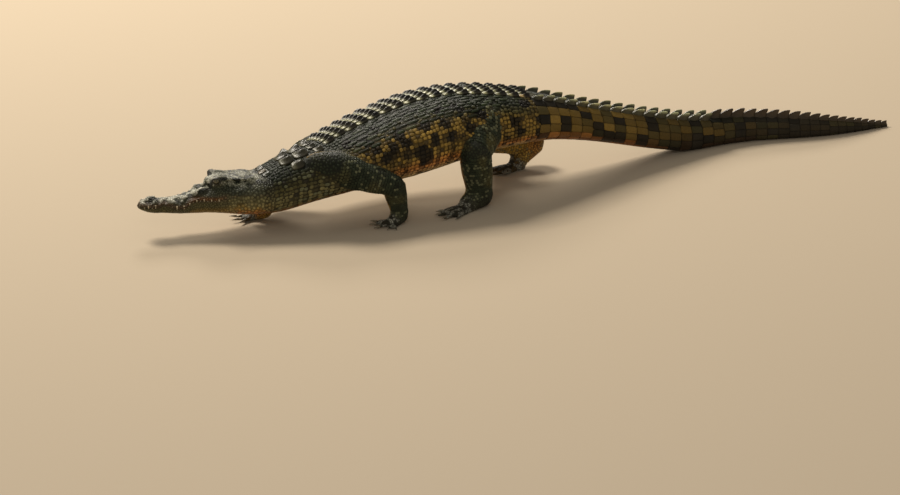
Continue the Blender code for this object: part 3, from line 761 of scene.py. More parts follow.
def keeled(cuts: int, ridge: float, ridge_width: float, square: float = 3.2) -> Scale:
    """An armour scute: a plate with a ridge that climbs toward the tail.

    Args:
        cuts: Rows and columns of its top.
        ridge: Height of the ridge over the plate, in plate heights.
        ridge_width: Half width of the ridge as a share of the plate.
        square: Squareness of the outline.
    """
    piece = primitive(bpy.ops.mesh.primitive_grid_add, x_subdivisions=cuts, y_subdivisions=cuts, size=1.0)
    points = points_of(piece)
    x, y = points[:, 0], points[:, 1]
    edge = np.maximum(np.abs(x), np.abs(y)) * 2
    out, turn = rounded(x, y, square)
    box = 1 / np.maximum(np.maximum(np.abs(np.cos(turn)), np.abs(np.sin(turn))), 1e-6)
    points[:, :2] *= (1 + (out / box - 1) * edge)[:, None]
    plate = 0.75 + 0.25 * (1 - edge ** 2)
    run = np.clip(y + 0.5, 0, 1)
    climb = ease(0.06, 0.70, run) * (1 - ease(0.82, 1.0, run))
    crest_line = np.exp(-(np.abs(x) / ridge_width) ** 1.5) * climb
    points[:, 2] = plate * (0.85 + 0.15 * run) + ridge * crest_line
    move_points(piece, points)
    open_mesh()
    bpy.ops.mesh.select_all(action="DESELECT")
    bpy.ops.mesh.select_non_manifold()
    bpy.ops.mesh.extrude_region_move(TRANSFORM_OT_translate={"value": (0, 0, -1.3)})
    bpy.ops.mesh.edge_face_add()
    close_mesh()
    scale = keep_shape(0.2)
    _, y, z = scale.points.T
    # painted highlight on the front slope of each scute below its ridge, and painted shade on the tall
    # ridge
    worn = (1 - ease(-0.32, -0.05, y)) * ease(0.5, 0.8, z)
    return replace(scale, highlight_share=worn - 0.12 * ease(0.9, 1.6, z))


def fin(wall: float, hook: float, crown: float, cuts: int = 6) -> Scale:
    """A crest blade shaped like a leaf that leans back: round front edge, steep back edge.

    Args:
        wall: How much of its height runs on unbroken into the next blade.
        hook: How far the tip stands behind the foot, in blade lengths.
        crown: How much of the rounding is taken from the back edge, the rest from the front.
        cuts: Cuts along every edge.
    """
    piece = primitive(bpy.ops.mesh.primitive_cube_add, size=1.0, location=(0, 0, 0))
    open_mesh()
    bpy.ops.mesh.subdivide(number_cuts=cuts)
    close_mesh()
    points = points_of(piece)
    run, up = points[:, 1] + 0.5, points[:, 2] + 0.5
    arc = np.clip((up - wall) / (1 - wall), 0, 1) * math.pi / 2
    gone = 0.96 * (1 - np.cos(arc))
    front = hook * np.sin(arc) ** 1.5 + gone * (1 - crown)
    thick = (1 - 0.66 * up ** 0.9) * (0.50 + 0.50 * np.sin(math.pi * np.clip(run, 0.06, 0.94)))
    collar = 1 + 0.5 * np.exp(-(up / 0.16) ** 2)
    points[:, 0] *= thick * collar
    points[:, 1] = front + (1 - gone) * run - 0.5
    points[:, 2] = np.minimum(up, wall) + (1 - wall) * np.sin(arc) - 0.10
    move_points(piece, points)
    return keep_shape(0.0)


# ------------------------------------------------------------------ the coat's builder
@dataclass
class Coat:
    """One joined piece of many scales, with a colour and a patch of the bake map for each."""

    name: str
    points: list[Array] = field(default_factory=list)
    triangles: list[Array] = field(default_factory=list)
    colours: list[Array] = field(default_factory=list)
    places: list[Array] = field(default_factory=list)
    count: int = 0
    patch: float = 0.003

    def add(self, shape: Scale, points: Array, colours: Array, roots: Array,
            groove: float = 0.35, tip: float = 1.0) -> None:
        """Add many copies of one shape.

        Args:
            shape: The scale.
            points: Every copy's points, copies first.
            colours: One colour for each copy.
            roots: Each copy's place on the skin's unwrap, 0 to 1 both ways.
            groove: How dark the rim is beside the top: painted shade in the groove between scales.
            tip: How much lighter than the copy's colour the highest part is: a painted highlight.
        """
        if not len(points):
            return
        # painted shade and highlight: each copy darkens toward its rim by groove and lightens up its
        # height, and its highest part takes tip as painted highlight
        tone = groove + (1 - groove) * ease(0.0, 0.55, shape.lift) + (tip - 1.0) * shape.highlight_share
        numbers = np.arange(len(points))[:, None, None] * len(shape.points) + self.count
        self.points.append(points.reshape(-1, 3))
        self.triangles.append((shape.triangles[None] + numbers).reshape(-1, 3))
        self.colours.append((colours[:, None, :] * tone[None, :, None]).reshape(-1, 3))
        local = shape.points[None, :, :2] * self.patch
        self.places.append((roots[:, None, :] + local).reshape(-1, 2))
        self.count += points.shape[0] * points.shape[1]

    def finish(self, dress: Material) -> Piece:
        """Write the gathered scales as one object of the material given, on the animal's one body."""
        points = np.concatenate(self.points)
        points[:, 2] = np.maximum(points[:, 2], 0.0003)
        triangles = np.concatenate(self.triangles)
        mesh = bpy.data.meshes.new(self.name)
        mesh.vertices.add(len(points))
        mesh.loops.add(triangles.size)
        mesh.polygons.add(len(triangles))
        mesh.vertices.foreach_set("co", points.astype(np.float32).ravel())
        mesh.loops.foreach_set("vertex_index", triangles.astype(np.int32).ravel())
        mesh.polygons.foreach_set("loop_start", np.arange(0, triangles.size, 3, dtype=np.int32))
        mesh.polygons.foreach_set("use_smooth", np.ones(len(triangles), bool))
        mesh.update(calc_edges=True)
        places = np.clip(np.concatenate(self.places), 0.0, 1.0)[triangles.ravel()]
        layer = mesh.uv_layers.new(name="OFBake")
        layer.data.foreach_set("uv", places.astype(np.float32).ravel())
        paint_points(mesh, np.concatenate(self.colours))
        mesh.materials.append(dress)
        piece = new_object(self.name, mesh)
        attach(piece, "root")
        LOG.info("%s: %d triangles", self.name, len(triangles))
        return piece


def paint_points(mesh: bpy.types.Mesh, colours: Array) -> None:
    """Write a colour for every vertex as the attribute Marking."""
    layer = mesh.color_attributes.get("Marking") or mesh.color_attributes.new(
        "Marking", "FLOAT_COLOR", "POINT")
    full = np.concatenate((np.clip(colours, 0.0, 1.0), np.ones((len(colours), 1))), 1)
    layer.data.foreach_set("color", full.astype(np.float32).ravel())


# ------------------------------------------------------------------ the markings
class Tint(Enum):
    """The hide's own colours, and the pale tint of painted highlights."""

    BLACK = (0.009, 0.008, 0.006)
    SLATE = (0.021, 0.027, 0.015)
    OLIVE = (0.078, 0.068, 0.024)
    STRAW = (0.270, 0.170, 0.036)
    CREAM = (0.430, 0.310, 0.140)
    RUST = (0.400, 0.155, 0.038)
    MOSS = (0.095, 0.098, 0.054)
    BROWN = (0.100, 0.055, 0.024)
    KHAKI = (0.185, 0.160, 0.066)
    # pale tint of the painted highlights on the head's bony lumps and on the toes
    BONE = (0.360, 0.350, 0.280)

    def __mul__(self, light: float) -> Array:
        """The tint as an array, lighter or darker."""
        return np.array(self.value) * light


def ramp(at: Array, stops: tuple[tuple[float, Tint], ...]) -> Array:
    """Colours read along a run of tints."""
    places = [s[0] for s in stops]
    table = np.array([s[1].value for s in stops])
    return np.stack([np.interp(at, places, table[:, i]) for i in range(3)], -1)


def mixed(a: Array | Tint, b: Array | Tint, share: Array) -> Array:
    """Two sets of colours mixed by a share for each."""
    a, b = a * 1.0, b * 1.0
    return a + (b - a) * np.asarray(share)[..., None]


@dataclass
class Markings:
    """The pattern over the whole animal, read by skin and scales alike."""

    form: BodyForm
    crest_start: float = 1.28
    whorl: float = 0.0425
    # Dark patches on the flank: running length and girth place
    flank_patches: tuple[tuple[float, float], ...] = (
        (0.63, 0.30), (0.67, 0.36), (0.69, 0.43), (0.71, 0.51), (0.73, 0.29), (0.74, 0.47),
        (0.78, 0.40), (0.79, 0.47), (0.82, 0.54), (0.84, 0.59), (0.86, 0.40), (0.88, 0.50),
        (0.93, 0.30), (0.93, 0.42), (0.94, 0.50), (0.99, 0.31), (1.01, 0.46), (1.06, 0.38),
        (1.18, 0.45), (1.20, 0.54), (1.28, 0.43), (1.28, 0.60), (1.32, 0.24), (1.24, 0.26))
    # Dark blocks on the tail: whorl number and girth places
    tail_blocks: tuple[tuple[int, tuple[float, ...]], ...] = (
        (0, (0.20, 0.45)), (1, (0.19,)), (2, (0.19, 0.48)), (3, (0.16,)), (4, (0.34,)), (5, (0.52,)),
        (6, (0.64,)), (7, (0.34, 0.66)), (9, (0.62,)), (10, (0.30, 0.42)), (11, (0.68,)),
        (12, (0.66, 0.80)), (14, (0.15, 0.30, 0.45, 0.60, 0.75)), (15, (0.50,)),
        (18, (0.20, 0.35, 0.50)), (20, (0.30,)), (21, (0.15, 0.50)), (23, (0.20, 0.35)))

    @staticmethod
    def back_line(s: Array | float) -> Array:
        """Girth place of the middle of the back: the trunk leans a little to its far side."""
        return -0.15 * ease(0.44, 0.64, s) * (1 - ease(0.82, 1.26, s))

    def from_back(self, s: Array, v: Array) -> Array:
        """Signed girth places measured from the middle of the back."""
        return v - self.back_line(s) * (1 - np.abs(v))

    def body(self, s: Array, v: Array, points: Array, whorl: Array | None = None) -> Array:
        """Colours on the body tube.

        Args:
            s: Running lengths.
            v: Girth places, signed.
            points: The same places in space, for the noise.
            whorl: Whorl numbers where they are known.
        """
        v = self.from_back(s, v)
        side = np.where(v >= 0, 1.0, -1.0)
        a = np.abs(v)
        trunk = ramp(a, ((0.0, Tint.SLATE), (0.28, Tint.SLATE), (0.36, Tint.OLIVE), (0.43, Tint.STRAW),
                         (0.58, Tint.STRAW), (0.64, Tint.RUST), (0.72, Tint.CREAM), (1.0, Tint.CREAM)))
        tail = ramp(a, ((0.0, Tint.SLATE), (0.12, Tint.SLATE), (0.22, Tint.STRAW), (0.60, Tint.STRAW),
                        (0.66, Tint.RUST), (0.92, Tint.RUST), (1.0, Tint.CREAM)))
        neck = ramp(a, ((0.0, Tint.SLATE), (0.28, Tint.SLATE), (0.42, Tint.OLIVE), (0.56, Tint.KHAKI),
                        (0.66, Tint.KHAKI), (0.74, Tint.RUST), (0.84, Tint.CREAM), (1.0, Tint.CREAM)))
        onto_tail = ease(1.20, 1.36, s)
        onto_trunk = ease(0.56, 0.68, s)
        lumps = value_noise(points, 0.034, 3)
        fine = value_noise(points, 0.012, 5)
        bars = ease(-0.2, 0.5, np.sin(s * 2 * math.pi / 0.026) + 0.5 * lumps)
        low_neck = ease(0.40, 0.50, a) * (1 - ease(0.80, 0.90, a))
        neck = mixed(neck, Tint.BLACK * 2, bars * low_neck * 0.6 * ease(0.40, 0.46, s))
        base = mixed(mixed(neck, trunk, onto_trunk), tail, onto_tail)
        flank = ease(0.22, 0.32, a) * (1 - ease(0.58, 0.66, a))
        mottled = ease(0.30, 0.62, lumps + 0.45 * fine) * 0.72 * flank * (1 - onto_tail)
        base = mixed(base, Tint.BLACK * 1.6, mottled * onto_trunk)
        bars = ease(0.1, 0.5, np.sin((s + 0.012 * side) * 2 * math.pi / 0.052) + 0.5 * lumps)
        low = hump(a, 0.585, 0.075) * onto_trunk * (1 - ease(1.10, 1.20, s))
        base = mixed(base, Tint.BLACK * 1.5, np.clip(1.5 * bars * low, 0, 0.6))
        base = mixed(base, Tint.BLACK, self._patches(s, a, side, lumps, fine))
        under = ease(1.62, 1.84, s) * ease(0.40, 0.58, a)
        base = mixed(base, Tint.BLACK * 1.5, under * 0.85)
        dim = 1 - 0.45 * ease(1.16, 1.40, s) - 0.26 * ease(1.42, 2.10, s) - 0.24 * (1 - onto_trunk)
        base = base * dim[:, None]
        base = mixed(base, Tint.BLACK, self._blocks(s, a, side, whorl))
        dark_end = ease(1.92, 2.24, s + 0.05 * lumps) * 0.80
        base = mixed(base, Tint.BLACK * 1.8, dark_end)
        head = self._head(points, a, lumps, fine)
        return mixed(head, base, ease(0.335, 0.40, s + 0.02 * lumps))

    @staticmethod
    def _head(points: Array, a: Array, lumps: Array, fine: Array) -> Array:
        """Colours on the head: grey green above, brown lips, straw jowls and throat, with painted
        highlights on the bony lumps and painted shade in their hollows and round the eyes.

        Args:
            points: Places in space.
            a: Girth places, 0 on the back to 1 below.
            lumps, fine: Coarse and fine noise at the points.
        """
        _, forward, height = SKULL.inside(points)
        gap = height - mouth_height(forward)
        # the same noise as the bone's lumps: painted shade in their hollows, and a painted highlight on the
        # lumps, strongest on the snout
        rugged = value_noise(points, 0.0105, 21)
        top = mixed(Tint.MOSS, Tint.SLATE * 0.4, ease(0.08, -0.18, rugged))
        snout = 0.30 + 0.70 * ease(0.10, 0.14, forward)
        top = mixed(top, Tint.BONE * 1.5, ease(0.05, 0.25, rugged) * snout)
        side = mixed(Tint.MOSS * 0.75, Tint.SLATE, ease(0.0, 0.5, lumps + 0.4 * fine) * 0.7)
        upper = mixed(side, top, 1 - ease(0.20, 0.34, a))
        lips = hump(gap, 0.006, 0.006) * ease(0.08, 0.12, forward)
        upper = mixed(upper, mixed(Tint.RUST * 0.36, Tint.BROWN, ease(0.17, 0.23, forward)), lips * 0.8)
        jaw = ramp(gap, ((-0.056, Tint.RUST), (-0.038, Tint.STRAW), (-0.018, Tint.OLIVE),
                         (-0.004, Tint.OLIVE), (0.0, Tint.BROWN)))
        jowl = 1 - ease(0.06, 0.14, forward)
        spots = ease(-0.1, 0.35, fine + 0.3 * lumps) * jowl * ease(0.35, 0.50, a)
        colours = mixed(upper, jaw, 1 - ease(-0.003, 0.002, gap))
        colours = mixed(colours, Tint.KHAKI, spots * 0.75)
        # painted shade round the eye, under the brow
        sight = np.hypot(forward - EYE_PLACE[1], (height - EYE_PLACE[2]) * 1.2)
        socket_shade = (1 - ease(0.010, 0.020, sight)) * ease(0.10, 0.20, a)
        colours = mixed(colours, Tint.BLACK * 1.5, socket_shade * 0.85)
        return mixed(colours, Tint.CREAM, ease(0.86, 0.96, a) * 0.6)

    @staticmethod
    def speckled(colours: Array, s: Array, a: Array, chance: np.random.Generator) -> Array:
        """Change each scale's colour a little, and turn odd ones dark or pale.

        Args:
            colours: One for each scale.
            s, a: Running lengths and girth places.
            chance: The source of random draws.
        """
        roll = chance.uniform(0, 1, len(colours))
        out = colours * chance.uniform(0.72, 1.30, (len(colours), 1))
        sides = ease(0.26, 0.40, a) * (1 - ease(0.74, 0.84, a)) * (s < 1.35)
        out = mixed(out, Tint.BLACK * 2, (roll < 0.07 * sides) * 0.8)
        neck = (1 - ease(0.56, 0.64, s)) * ease(0.25, 0.35, a)
        return mixed(out, Tint.MOSS * 1.3, ((roll > 1 - 0.22 * neck) & (a < 0.8)) * 0.6)

    def _patches(self, s: Array, a: Array, side: Array, lumps: Array, fine: Array) -> Array:
        """How black the flank is.

        Args:
            s, a, side: Running lengths, girth places and the flank's sign.
            lumps, fine: Coarse and fine noise, which frays the edges.
        """
        most = np.zeros(len(s))
        girth = self.form.girth_at(s)
        for place, level in self.flank_patches:
            shifted = place + np.where(side > 0, 0.0, 0.021)
            away = np.hypot((s - shifted) / 0.020, (a - level) * girth / 0.018)
            most = np.maximum(most, 1 - ease(0.85, 1.15, away + 0.35 * lumps + 0.2 * fine))
        return most * 0.95

    def _blocks(self, s: Array, a: Array, side: Array, whorl: Array | None) -> Array:
        """How black the tail's blocks are.

        Args:
            s, a, side: Running lengths, girth places and the flank's sign.
            whorl: Whorl numbers where they are known.
        """
        if whorl is None:
            whorl = np.floor((s - self.crest_start) / self.whorl).astype(int)
        most = np.zeros(len(s))
        for number, levels in self.tail_blocks:
            for level in levels:
                here = (whorl + np.where(side > 0, 0, 1) == number) & (np.abs(a - level) < 0.085)
                most = np.maximum(most, here * 0.95)
        return most

    def limb(self, zone: Zone, share: Array, inner: Array, points: Array) -> Array:
        """Colours on a limb.

        Args:
            zone: Hind or fore.
            share: 0 at the root to 1 at the toes.
            inner: 1 where the skin faces the body or the floor, 0 outside.
            points: Places in space, for the noise.
        """
        outer = ramp(share, ((0.0, Tint.SLATE), (0.8, Tint.SLATE), (1.3, Tint.MOSS)))
        cloud = ease(0.0, 0.6, value_noise(points, 0.040, 9))
        outer = mixed(outer, Tint.OLIVE, cloud * (0.7 if zone is Zone.HIND else 0.4))
        within = mixed(Tint.STRAW * 1.4, Tint.RUST, ease(-0.2, 0.5, value_noise(points, 0.05, 4)) * 0.6)
        colours = mixed(outer, within, inner)
        toes = ease(0.92, 1.0, share)
        colours = mixed(colours, Tint.BLACK * 2, toes * 0.8)
        # painted highlights: pale flecks on the toes
        pale = ease(-0.1, 0.15, value_noise(points, 0.009, 6))
        return mixed(colours, Tint.BONE * 0.8, toes * pale * 0.8)


# ------------------------------------------------------------------ where things are
def body_unwrap(s: Array, v: Array) -> Array:
    """Places of the body tube on the skin's unwrap."""
    return np.stack((0.01 + 0.66 * s / 2.6, 0.01 + 0.49 * (v + 1)), -1)


@dataclass
class Places:
    """What each point of the skin belongs to."""

    s: Array
    v: Array
    on_body: Array
    leg: Array
    share: Array
    inner: Array
    along: Array
    turn: Array

    def unwrap(self) -> Array:
        """Each place on the skin's unwrap: the body's strip, then a strip for each limb."""
        body = body_unwrap(self.s, self.v)
        limb = np.stack((0.70 + 0.074 * self.leg + 0.070 * self.turn,
                         0.01 + 0.98 * np.clip(self.share / 1.32, 0, 1)), -1)
        return np.where(self.on_body[:, None], body, limb)


@dataclass
class Anatomy:
    """Finds the body or limb place of points on the skin."""

    form: BodyForm
    legs: list[Limb]
    near_body: float = 0.0045

    def locate(self, points: Array, normals: Array) -> Places:
        """Find what points belong to.

        Args:
            points, normals: The points, and the skin's outward directions there.
        """
        tree = self.form.locator()
        found = [tree.find(p) for p in points]
        number = np.array([f[1] for f in found])
        distance = np.array([f[2] for f in found])
        s, v = self.form.place_of(number)
        _, out, along = self.form.surface(s, v)
        gap = np.abs(np.sum((points - np.array([f[0] for f in found])) * out, 1))
        on_body = (gap < self.near_body) & (distance < 0.02)
        leg, best = np.zeros(len(points), int), np.full(len(points), np.inf)
        share, turn, way = np.zeros(len(points)), np.zeros(len(points)), np.zeros((len(points), 3))
        for index, limb in enumerate(self.legs):
            bones = [(np.array(a), np.array(b), r0, r1) for a, b, r0, r1 in limb.bones()]
            bones += [(np.array(a), np.array(b), r, r) for a, b, r in limb.digit_bones()]
            total = sum(np.linalg.norm(b - a) for a, b, _, _ in bones[:3])
            before = 0.0
            for k, (a, b, r0, r1) in enumerate(bones):
                run = b - a
                length = float(np.linalg.norm(run))
                t = np.clip((points - a) @ run / length ** 2, 0, 1)
                away = np.linalg.norm(points - (a + t[:, None] * run), axis=1) / (r0 + (r1 - r0) * t)
                closer = away < best
                best[closer] = away[closer]
                leg[closer] = index
                reach = (before + t * length) / total if k < 3 else 1.0 + t * 0.3
                share[closer] = np.broadcast_to(reach, len(points))[closer]
                way[closer] = run / length
                other = np.array(Vector(run).orthogonal().normalized())
                rest = points - a
                spin = np.arctan2(rest @ np.cross(run / length, other), rest @ other)
                turn[closer] = (spin / (2 * math.pi) + 0.5)[closer]
                before += length if k < 3 else 0.0
        along = np.where(on_body[:, None], along, way)
        signs = np.array([limb.side.value for limb in self.legs])[leg]
        inner = ease(0.05, 0.65, -normals[:, 0] * signs - 0.6 * np.minimum(normals[:, 2], 0))
        return Places(s, v, on_body, leg, share, inner, along, turn)


def paint(marks: Markings, places: Places, points: Array, legs: list[Limb]) -> Array:
    """Marking colours for points whose places are known.

    Args:
        marks: The pattern.
        places, points: The places, and the same in space.
        legs: The limbs, in the order that the places count them.
    """
    colours = marks.body(places.s, places.v, points)
    for zone in (Zone.HIND, Zone.FORE):
        zones = np.array([leg.zone is zone for leg in legs])[places.leg]
        here = ~places.on_body & zones
        if here.any():
            colours[here] = marks.limb(zone, places.share[here], places.inner[here], points[here])
    return colours


# ------------------------------------------------------------------ laying the scales
@dataclass
class Dresser:
    """Lays scales on the skin and remembers what is covered."""

    skin: Skin
    marks: Markings
    anatomy: Anatomy
    chance: np.random.Generator
    covered: list[Array] = field(default_factory=list)
    net: float = 0.009       # widest step of the points remembered over each scale

    def on_skin(self, points: Array, limit: float = 0.0022) -> Array:
        """Which points lie on the finished skin, rather than under a limb's root."""
        tree = self.skin.tree
        return np.array([tree.find_nearest(p, limit)[0] is not None for p in points], bool)

    def uncovered(self, points: Array, reach: Array | float) -> Array:
        """Which points are further than reach from every scale laid so far."""
        if not self.covered:
            return np.ones(len(points), bool)
        tree = kd_tree(np.concatenate(self.covered))
        return np.array([tree.find(p)[2] for p in points]) > reach

    def _shaped(self, shape: Scale, count: int, wobble: float) -> Array:
        """Every copy's own points: the shape with its outline a little changed.

        Args:
            shape: The scale.
            count: How many copies.
            wobble: How uneven the outlines are.
        """
        x, y, z = (np.tile(shape.points[:, i], (count, 1)) for i in range(3))
        turn = np.arctan2(y, x)
        waves = self.chance.uniform(0, 2 * math.pi, (2, count, 1))
        out = 1 + wobble * np.sin(2 * turn + waves[0]) + 0.8 * wobble * np.sin(3 * turn + waves[1])
        return np.stack((x * out, y * out, z), -1)

    def wrap(self, coat: Coat, shape: Scale, s: Array, v: Array, width: Array, length: Array, height: Array,
             colours: Array, wobble: float = 0.05, groove: float = 0.35, tip: float = 1.0) -> None:
        """Lay copies that follow the body's own curve.

        Args:
            coat: The piece they join.
            shape: The scale.
            s, v: Places of their middles.
            width, length, height: Sizes round the body, along it and over the skin.
            colours: One for each.
            wobble: How uneven the outlines are.
            groove, tip: How dark the rims are with painted shade, and how light the highest parts are with
                painted highlight.
        """
        s, v, width, length, height = (np.broadcast_to(np.asarray(a, float), s.shape)
                                       for a in (s, v, width, length, height))
        local = self._shaped(shape, len(s), wobble)
        girth = self.skin.form.girth_at(s)[:, None]
        at_s = s[:, None] + local[..., 1] * length[:, None]
        at_v = v[:, None] + local[..., 0] * width[:, None] / girth
        points, out, _ = self.skin.form.surface(at_s, at_v)
        points = points + out * (local[..., 2] * height[:, None])[..., None]
        coat.add(shape, points, colours, body_unwrap(s, v), groove, tip)
        most = max(int(np.ceil(max(width.max(), length.max()) / self.net)), 1)
        steps = (np.arange(most) + 0.5) / most - 0.5
        for a, b in product(steps, repeat=2):
            self.covered.append(self.skin.form.surface(s + a * length, v + b * width / girth[:, 0])[0])

    def stand(self, coat: Coat, shape: Scale, at: Array, out: Array, along: Array, width: Array,
              length: Array, height: Array, colours: Array, roots: Array, wobble: float = 0.06,
              groove: float = 0.35, tip: float = 1.0) -> None:
        """Lay copies flat on the skin at points with normals and directions.

        Args:
            coat, shape: The piece they join, and the scale.
            at, out, along: Their places, and the directions of their tops and tails.
            width, length, height: Sizes across, along and over the skin.
            colours, roots: One colour and one place on the skin's unwrap for each.
            wobble: How uneven the outlines are.
            groove, tip: How dark the rims are with painted shade, and how light the highest parts are with
                painted highlight.
        """
        if not len(at):
            return
        local = self._shaped(shape, len(at), wobble)
        along = unit(along - out * np.sum(along * out, 1, keepdims=True))
        across = np.cross(along, out)
        points = at[:, None, :]
        for i, (axis, size) in enumerate(((across, width), (along, length), (out, height))):
            points = points + axis[:, None, :] * (local[..., i] * size[:, None])[..., None]
        coat.add(shape, points, colours, roots, groove, tip)
        self.covered.append(at)


@dataclass
class Armour:
    """Keeled scutes: behind the skull, on the nape and in rows down the back."""

    dresser: Dresser
    pitch: float = 0.0425
    plate: float = 0.0046
    streaks: int = 7
    streak_width: float = 0.0150
    first_y: float = -0.707
    end: float = 1.28
    trunk_start: float = 0.56
    highlight_gains: tuple[float, float, float] = (9.5, 3.0, 1.2)      # painted highlight gain on each scute's front: on the back, the nape and by the skull
    tone: tuple[float, float, float] = (1.32, 1.0, 0.90)
    # painted highlight gain on the long low scutes
    streak_highlight_gain: float = 1.6
    streak_tone: tuple[float, float, float] = (0.95, 1.10, 0.75)
    streak_height: float = 0.0012
    # By the skull and on the nape: running length, place beside the midline, width and height
    nape: tuple[tuple[float, float, float, float], ...] = (
        (0.374, 0.014, 0.022, 0.0030), (0.378, 0.038, 0.021, 0.0028), (0.444, 0.021, 0.040, 0.0050),
        (0.492, 0.023, 0.045, 0.0054), (0.468, 0.062, 0.035, 0.0046), (0.540, 0.018, 0.030, 0.0044),
        (0.548, 0.050, 0.028, 0.0040))

    def build(self, dress: Material, plain: Material) -> list[Piece]:
        """Lay the keeled scutes as one piece and the long low ones beside them as another."""
        coat, sides = Coat("scales_dorsal_scutes"), Coat("scales_beside_scutes")
        streak, tall = keeled(8, 0.9, 0.20, 2.4), keeled(10, 2.1, 0.24)
        form = self.dresser.skin.form
        start = form.station_of_y(self.first_y)
        count = int(round((self.end - start) / self.pitch))
        for i in range(count):
            s = start + (i + 0.5) * (self.end - start) / count
            share = (i + 0.5) / count
            wide = 0.0196 + 0.0030 * math.sin(math.pi * min(share * 1.1, 1.0)) - 0.001 * share
            for column in range(3):
                self._pair(coat, tall, s, (column + 0.5) * wide, wide * 0.92, self.pitch * 0.95,
                           self.plate * (0.90 if column == 0 else 1.0))
            for column in range(self.streaks):
                if 0.08 < share < 0.95 - 0.05 * column:
                    offset = 3 * wide + (column + 0.5) * self.streak_width
                    step = 0.5 * self.pitch * (1 - column % 2)
                    self._pair(sides, streak, s + step, offset, self.streak_width * 0.86,
                               self.pitch * 0.96, self.streak_height, True)
        for place, offset, size, height in self.nape:
            shape = streak if place < NAPE_START else tall
            self._pair(coat, shape, place, offset, size, size * 1.05, height)
        return [coat.finish(dress), sides.finish(plain)]

    def _pair(self, coat: Coat, shape: Scale, s: float, offset: float, width: float,
              length: float, height: float, low: bool = False) -> None:
        """One scute on each side of the midline.

        Args:
            coat, shape: The piece they join, and the scute.
            s, offset: Running length, and distance from the midline.
            width, length, height: Their size.
            low: Whether they are the long low ones, darker and less even.
        """
        dresser, form, chance = self.dresser, self.dresser.skin.form, self.dresser.chance
        places = np.array([s, s]) + chance.normal(0, 0.0036 if low else 0.0010, 2)
        v = np.array([offset, -offset]) / float(form.girth_at(s))
        v = v + dresser.marks.back_line(places) * (1 - np.abs(v))
        colours = dresser.marks.body(places, v, form.surface(places, v)[0]) * self.tone
        if s < NAPE_START:
            colours = mixed(colours, Tint.SLATE, np.array([0.6]))
        size = width * chance.uniform(0.95, 1.03, 2)
        long = np.full(2, length)
        # the painted highlight on the scutes' fronts is strongest on the back, weaker on the nape and by
        # the skull
        tip = self.highlight_gains[int(s <= self.trunk_start) + int(s <= NAPE_START)]
        if low:
            colours = mixed(colours, Tint.SLATE, np.array([0.88])) * self.streak_tone
            colours = colours * chance.uniform(0.4, 1.8, (2, 1)) * 0.5
            size, tip = size * chance.uniform(0.70, 1.02, 2), self.streak_highlight_gain
            v += chance.normal(0, 0.006, 2)
        colours = colours * chance.uniform(0.8, 1.25, (2, 1))
        if low:
            long = long * chance.uniform(0.66, 1.0, 2)
        dresser.wrap(coat, shape, places, v, size, long, np.full(2, height), colours, 0.02, 0.40, tip)


@dataclass
class BodyScales:
    """Staggered rows of oval scales on neck and flanks, and plates under the belly."""

    dresser: Dresser
    start: float = 0.395
    end: float = 1.315
    belly: float = 0.66

    def build(self, dress: Material) -> list[Piece]:
        """Lay the rows of both as two pieces."""
        return [self._rows("scales_flank", pad(8, 2.3), dress, (0.0, self.belly), (0.0128, 0.0136), 0.0032),
                self._rows("scales_belly", pad(8, 5.0, 0.08, 0.12), dress, (self.belly, 1.0),
                           (0.0115, 0.0205), 0.0022)]

    def _rows(self, name: str, shape: Scale, dress: Material, levels: tuple[float, float],
              pitches: tuple[float, float], height: float) -> Piece:
        """Lay rows on both sides.

        Args:
            name: The piece's name.
            shape: The scale.
            dress: The material.
            levels: Upper and lower girth place.
            pitches: Spacing behind the head and on the trunk.
            height: Height over the skin on the trunk.
        """
        dresser, form, chance = self.dresser, self.dresser.skin.form, self.dresser.chance
        coat, rows, s = Coat(name), [], self.start
        (top, bottom), on_flank = levels, levels[1] < 1.0
        while s < self.end:
            grown = float(ease(0.48, 0.74, s))
            pitch = between(pitches, grown)
            count = max(int(round((bottom - top) * float(form.girth_at(s)) / (pitch * 0.95))), 2)
            shift = 0.5 if len(rows) % 2 and on_flank else 0.0
            level = top + (bottom - top) * (np.arange(count) + 0.5 + 0.5 * shift) / count
            for side in (1.0, -1.0):
                rows.append(np.stack((np.full(count, s), level * side, np.full(count, pitch),
                                      np.full(count, (bottom - top) / count),
                                      np.full(count, 0.7 + 0.3 * grown)), -1))
            s += pitch
        table = np.concatenate(rows)
        if on_flank:
            loose = 0.14 - 0.04 * ease(0.50, 0.70, table[:, 0])
            table[:, 0] += chance.normal(0, 1.0, len(table)) * loose * table[:, 2]
            table[:, 1] += chance.normal(0, 0.06, len(table)) * table[:, 3]
        points, _, _ = form.surface(table[:, 0], table[:, 1])
        keep = dresser.on_skin(points) & dresser.uncovered(points, table[:, 2] * 0.42)
        table, points = table[keep], points[keep]
        girth = form.girth_at(table[:, 0])
        size = chance.uniform(0.76, 0.98, len(table)) if on_flank else np.full(len(table), 0.96)
        colours = dresser.marks.body(table[:, 0], table[:, 1], points)
        colours = dresser.marks.speckled(colours, table[:, 0], np.abs(table[:, 1]), chance)
        dresser.wrap(coat, shape, table[:, 0], table[:, 1], table[:, 3] * girth * size,
                     table[:, 2] * size * 1.02, height * table[:, 4] * chance.uniform(0.8, 1.2, len(table)),
                     colours, 0.08 if on_flank else 0.015, 0.10)
        return coat.finish(dress)


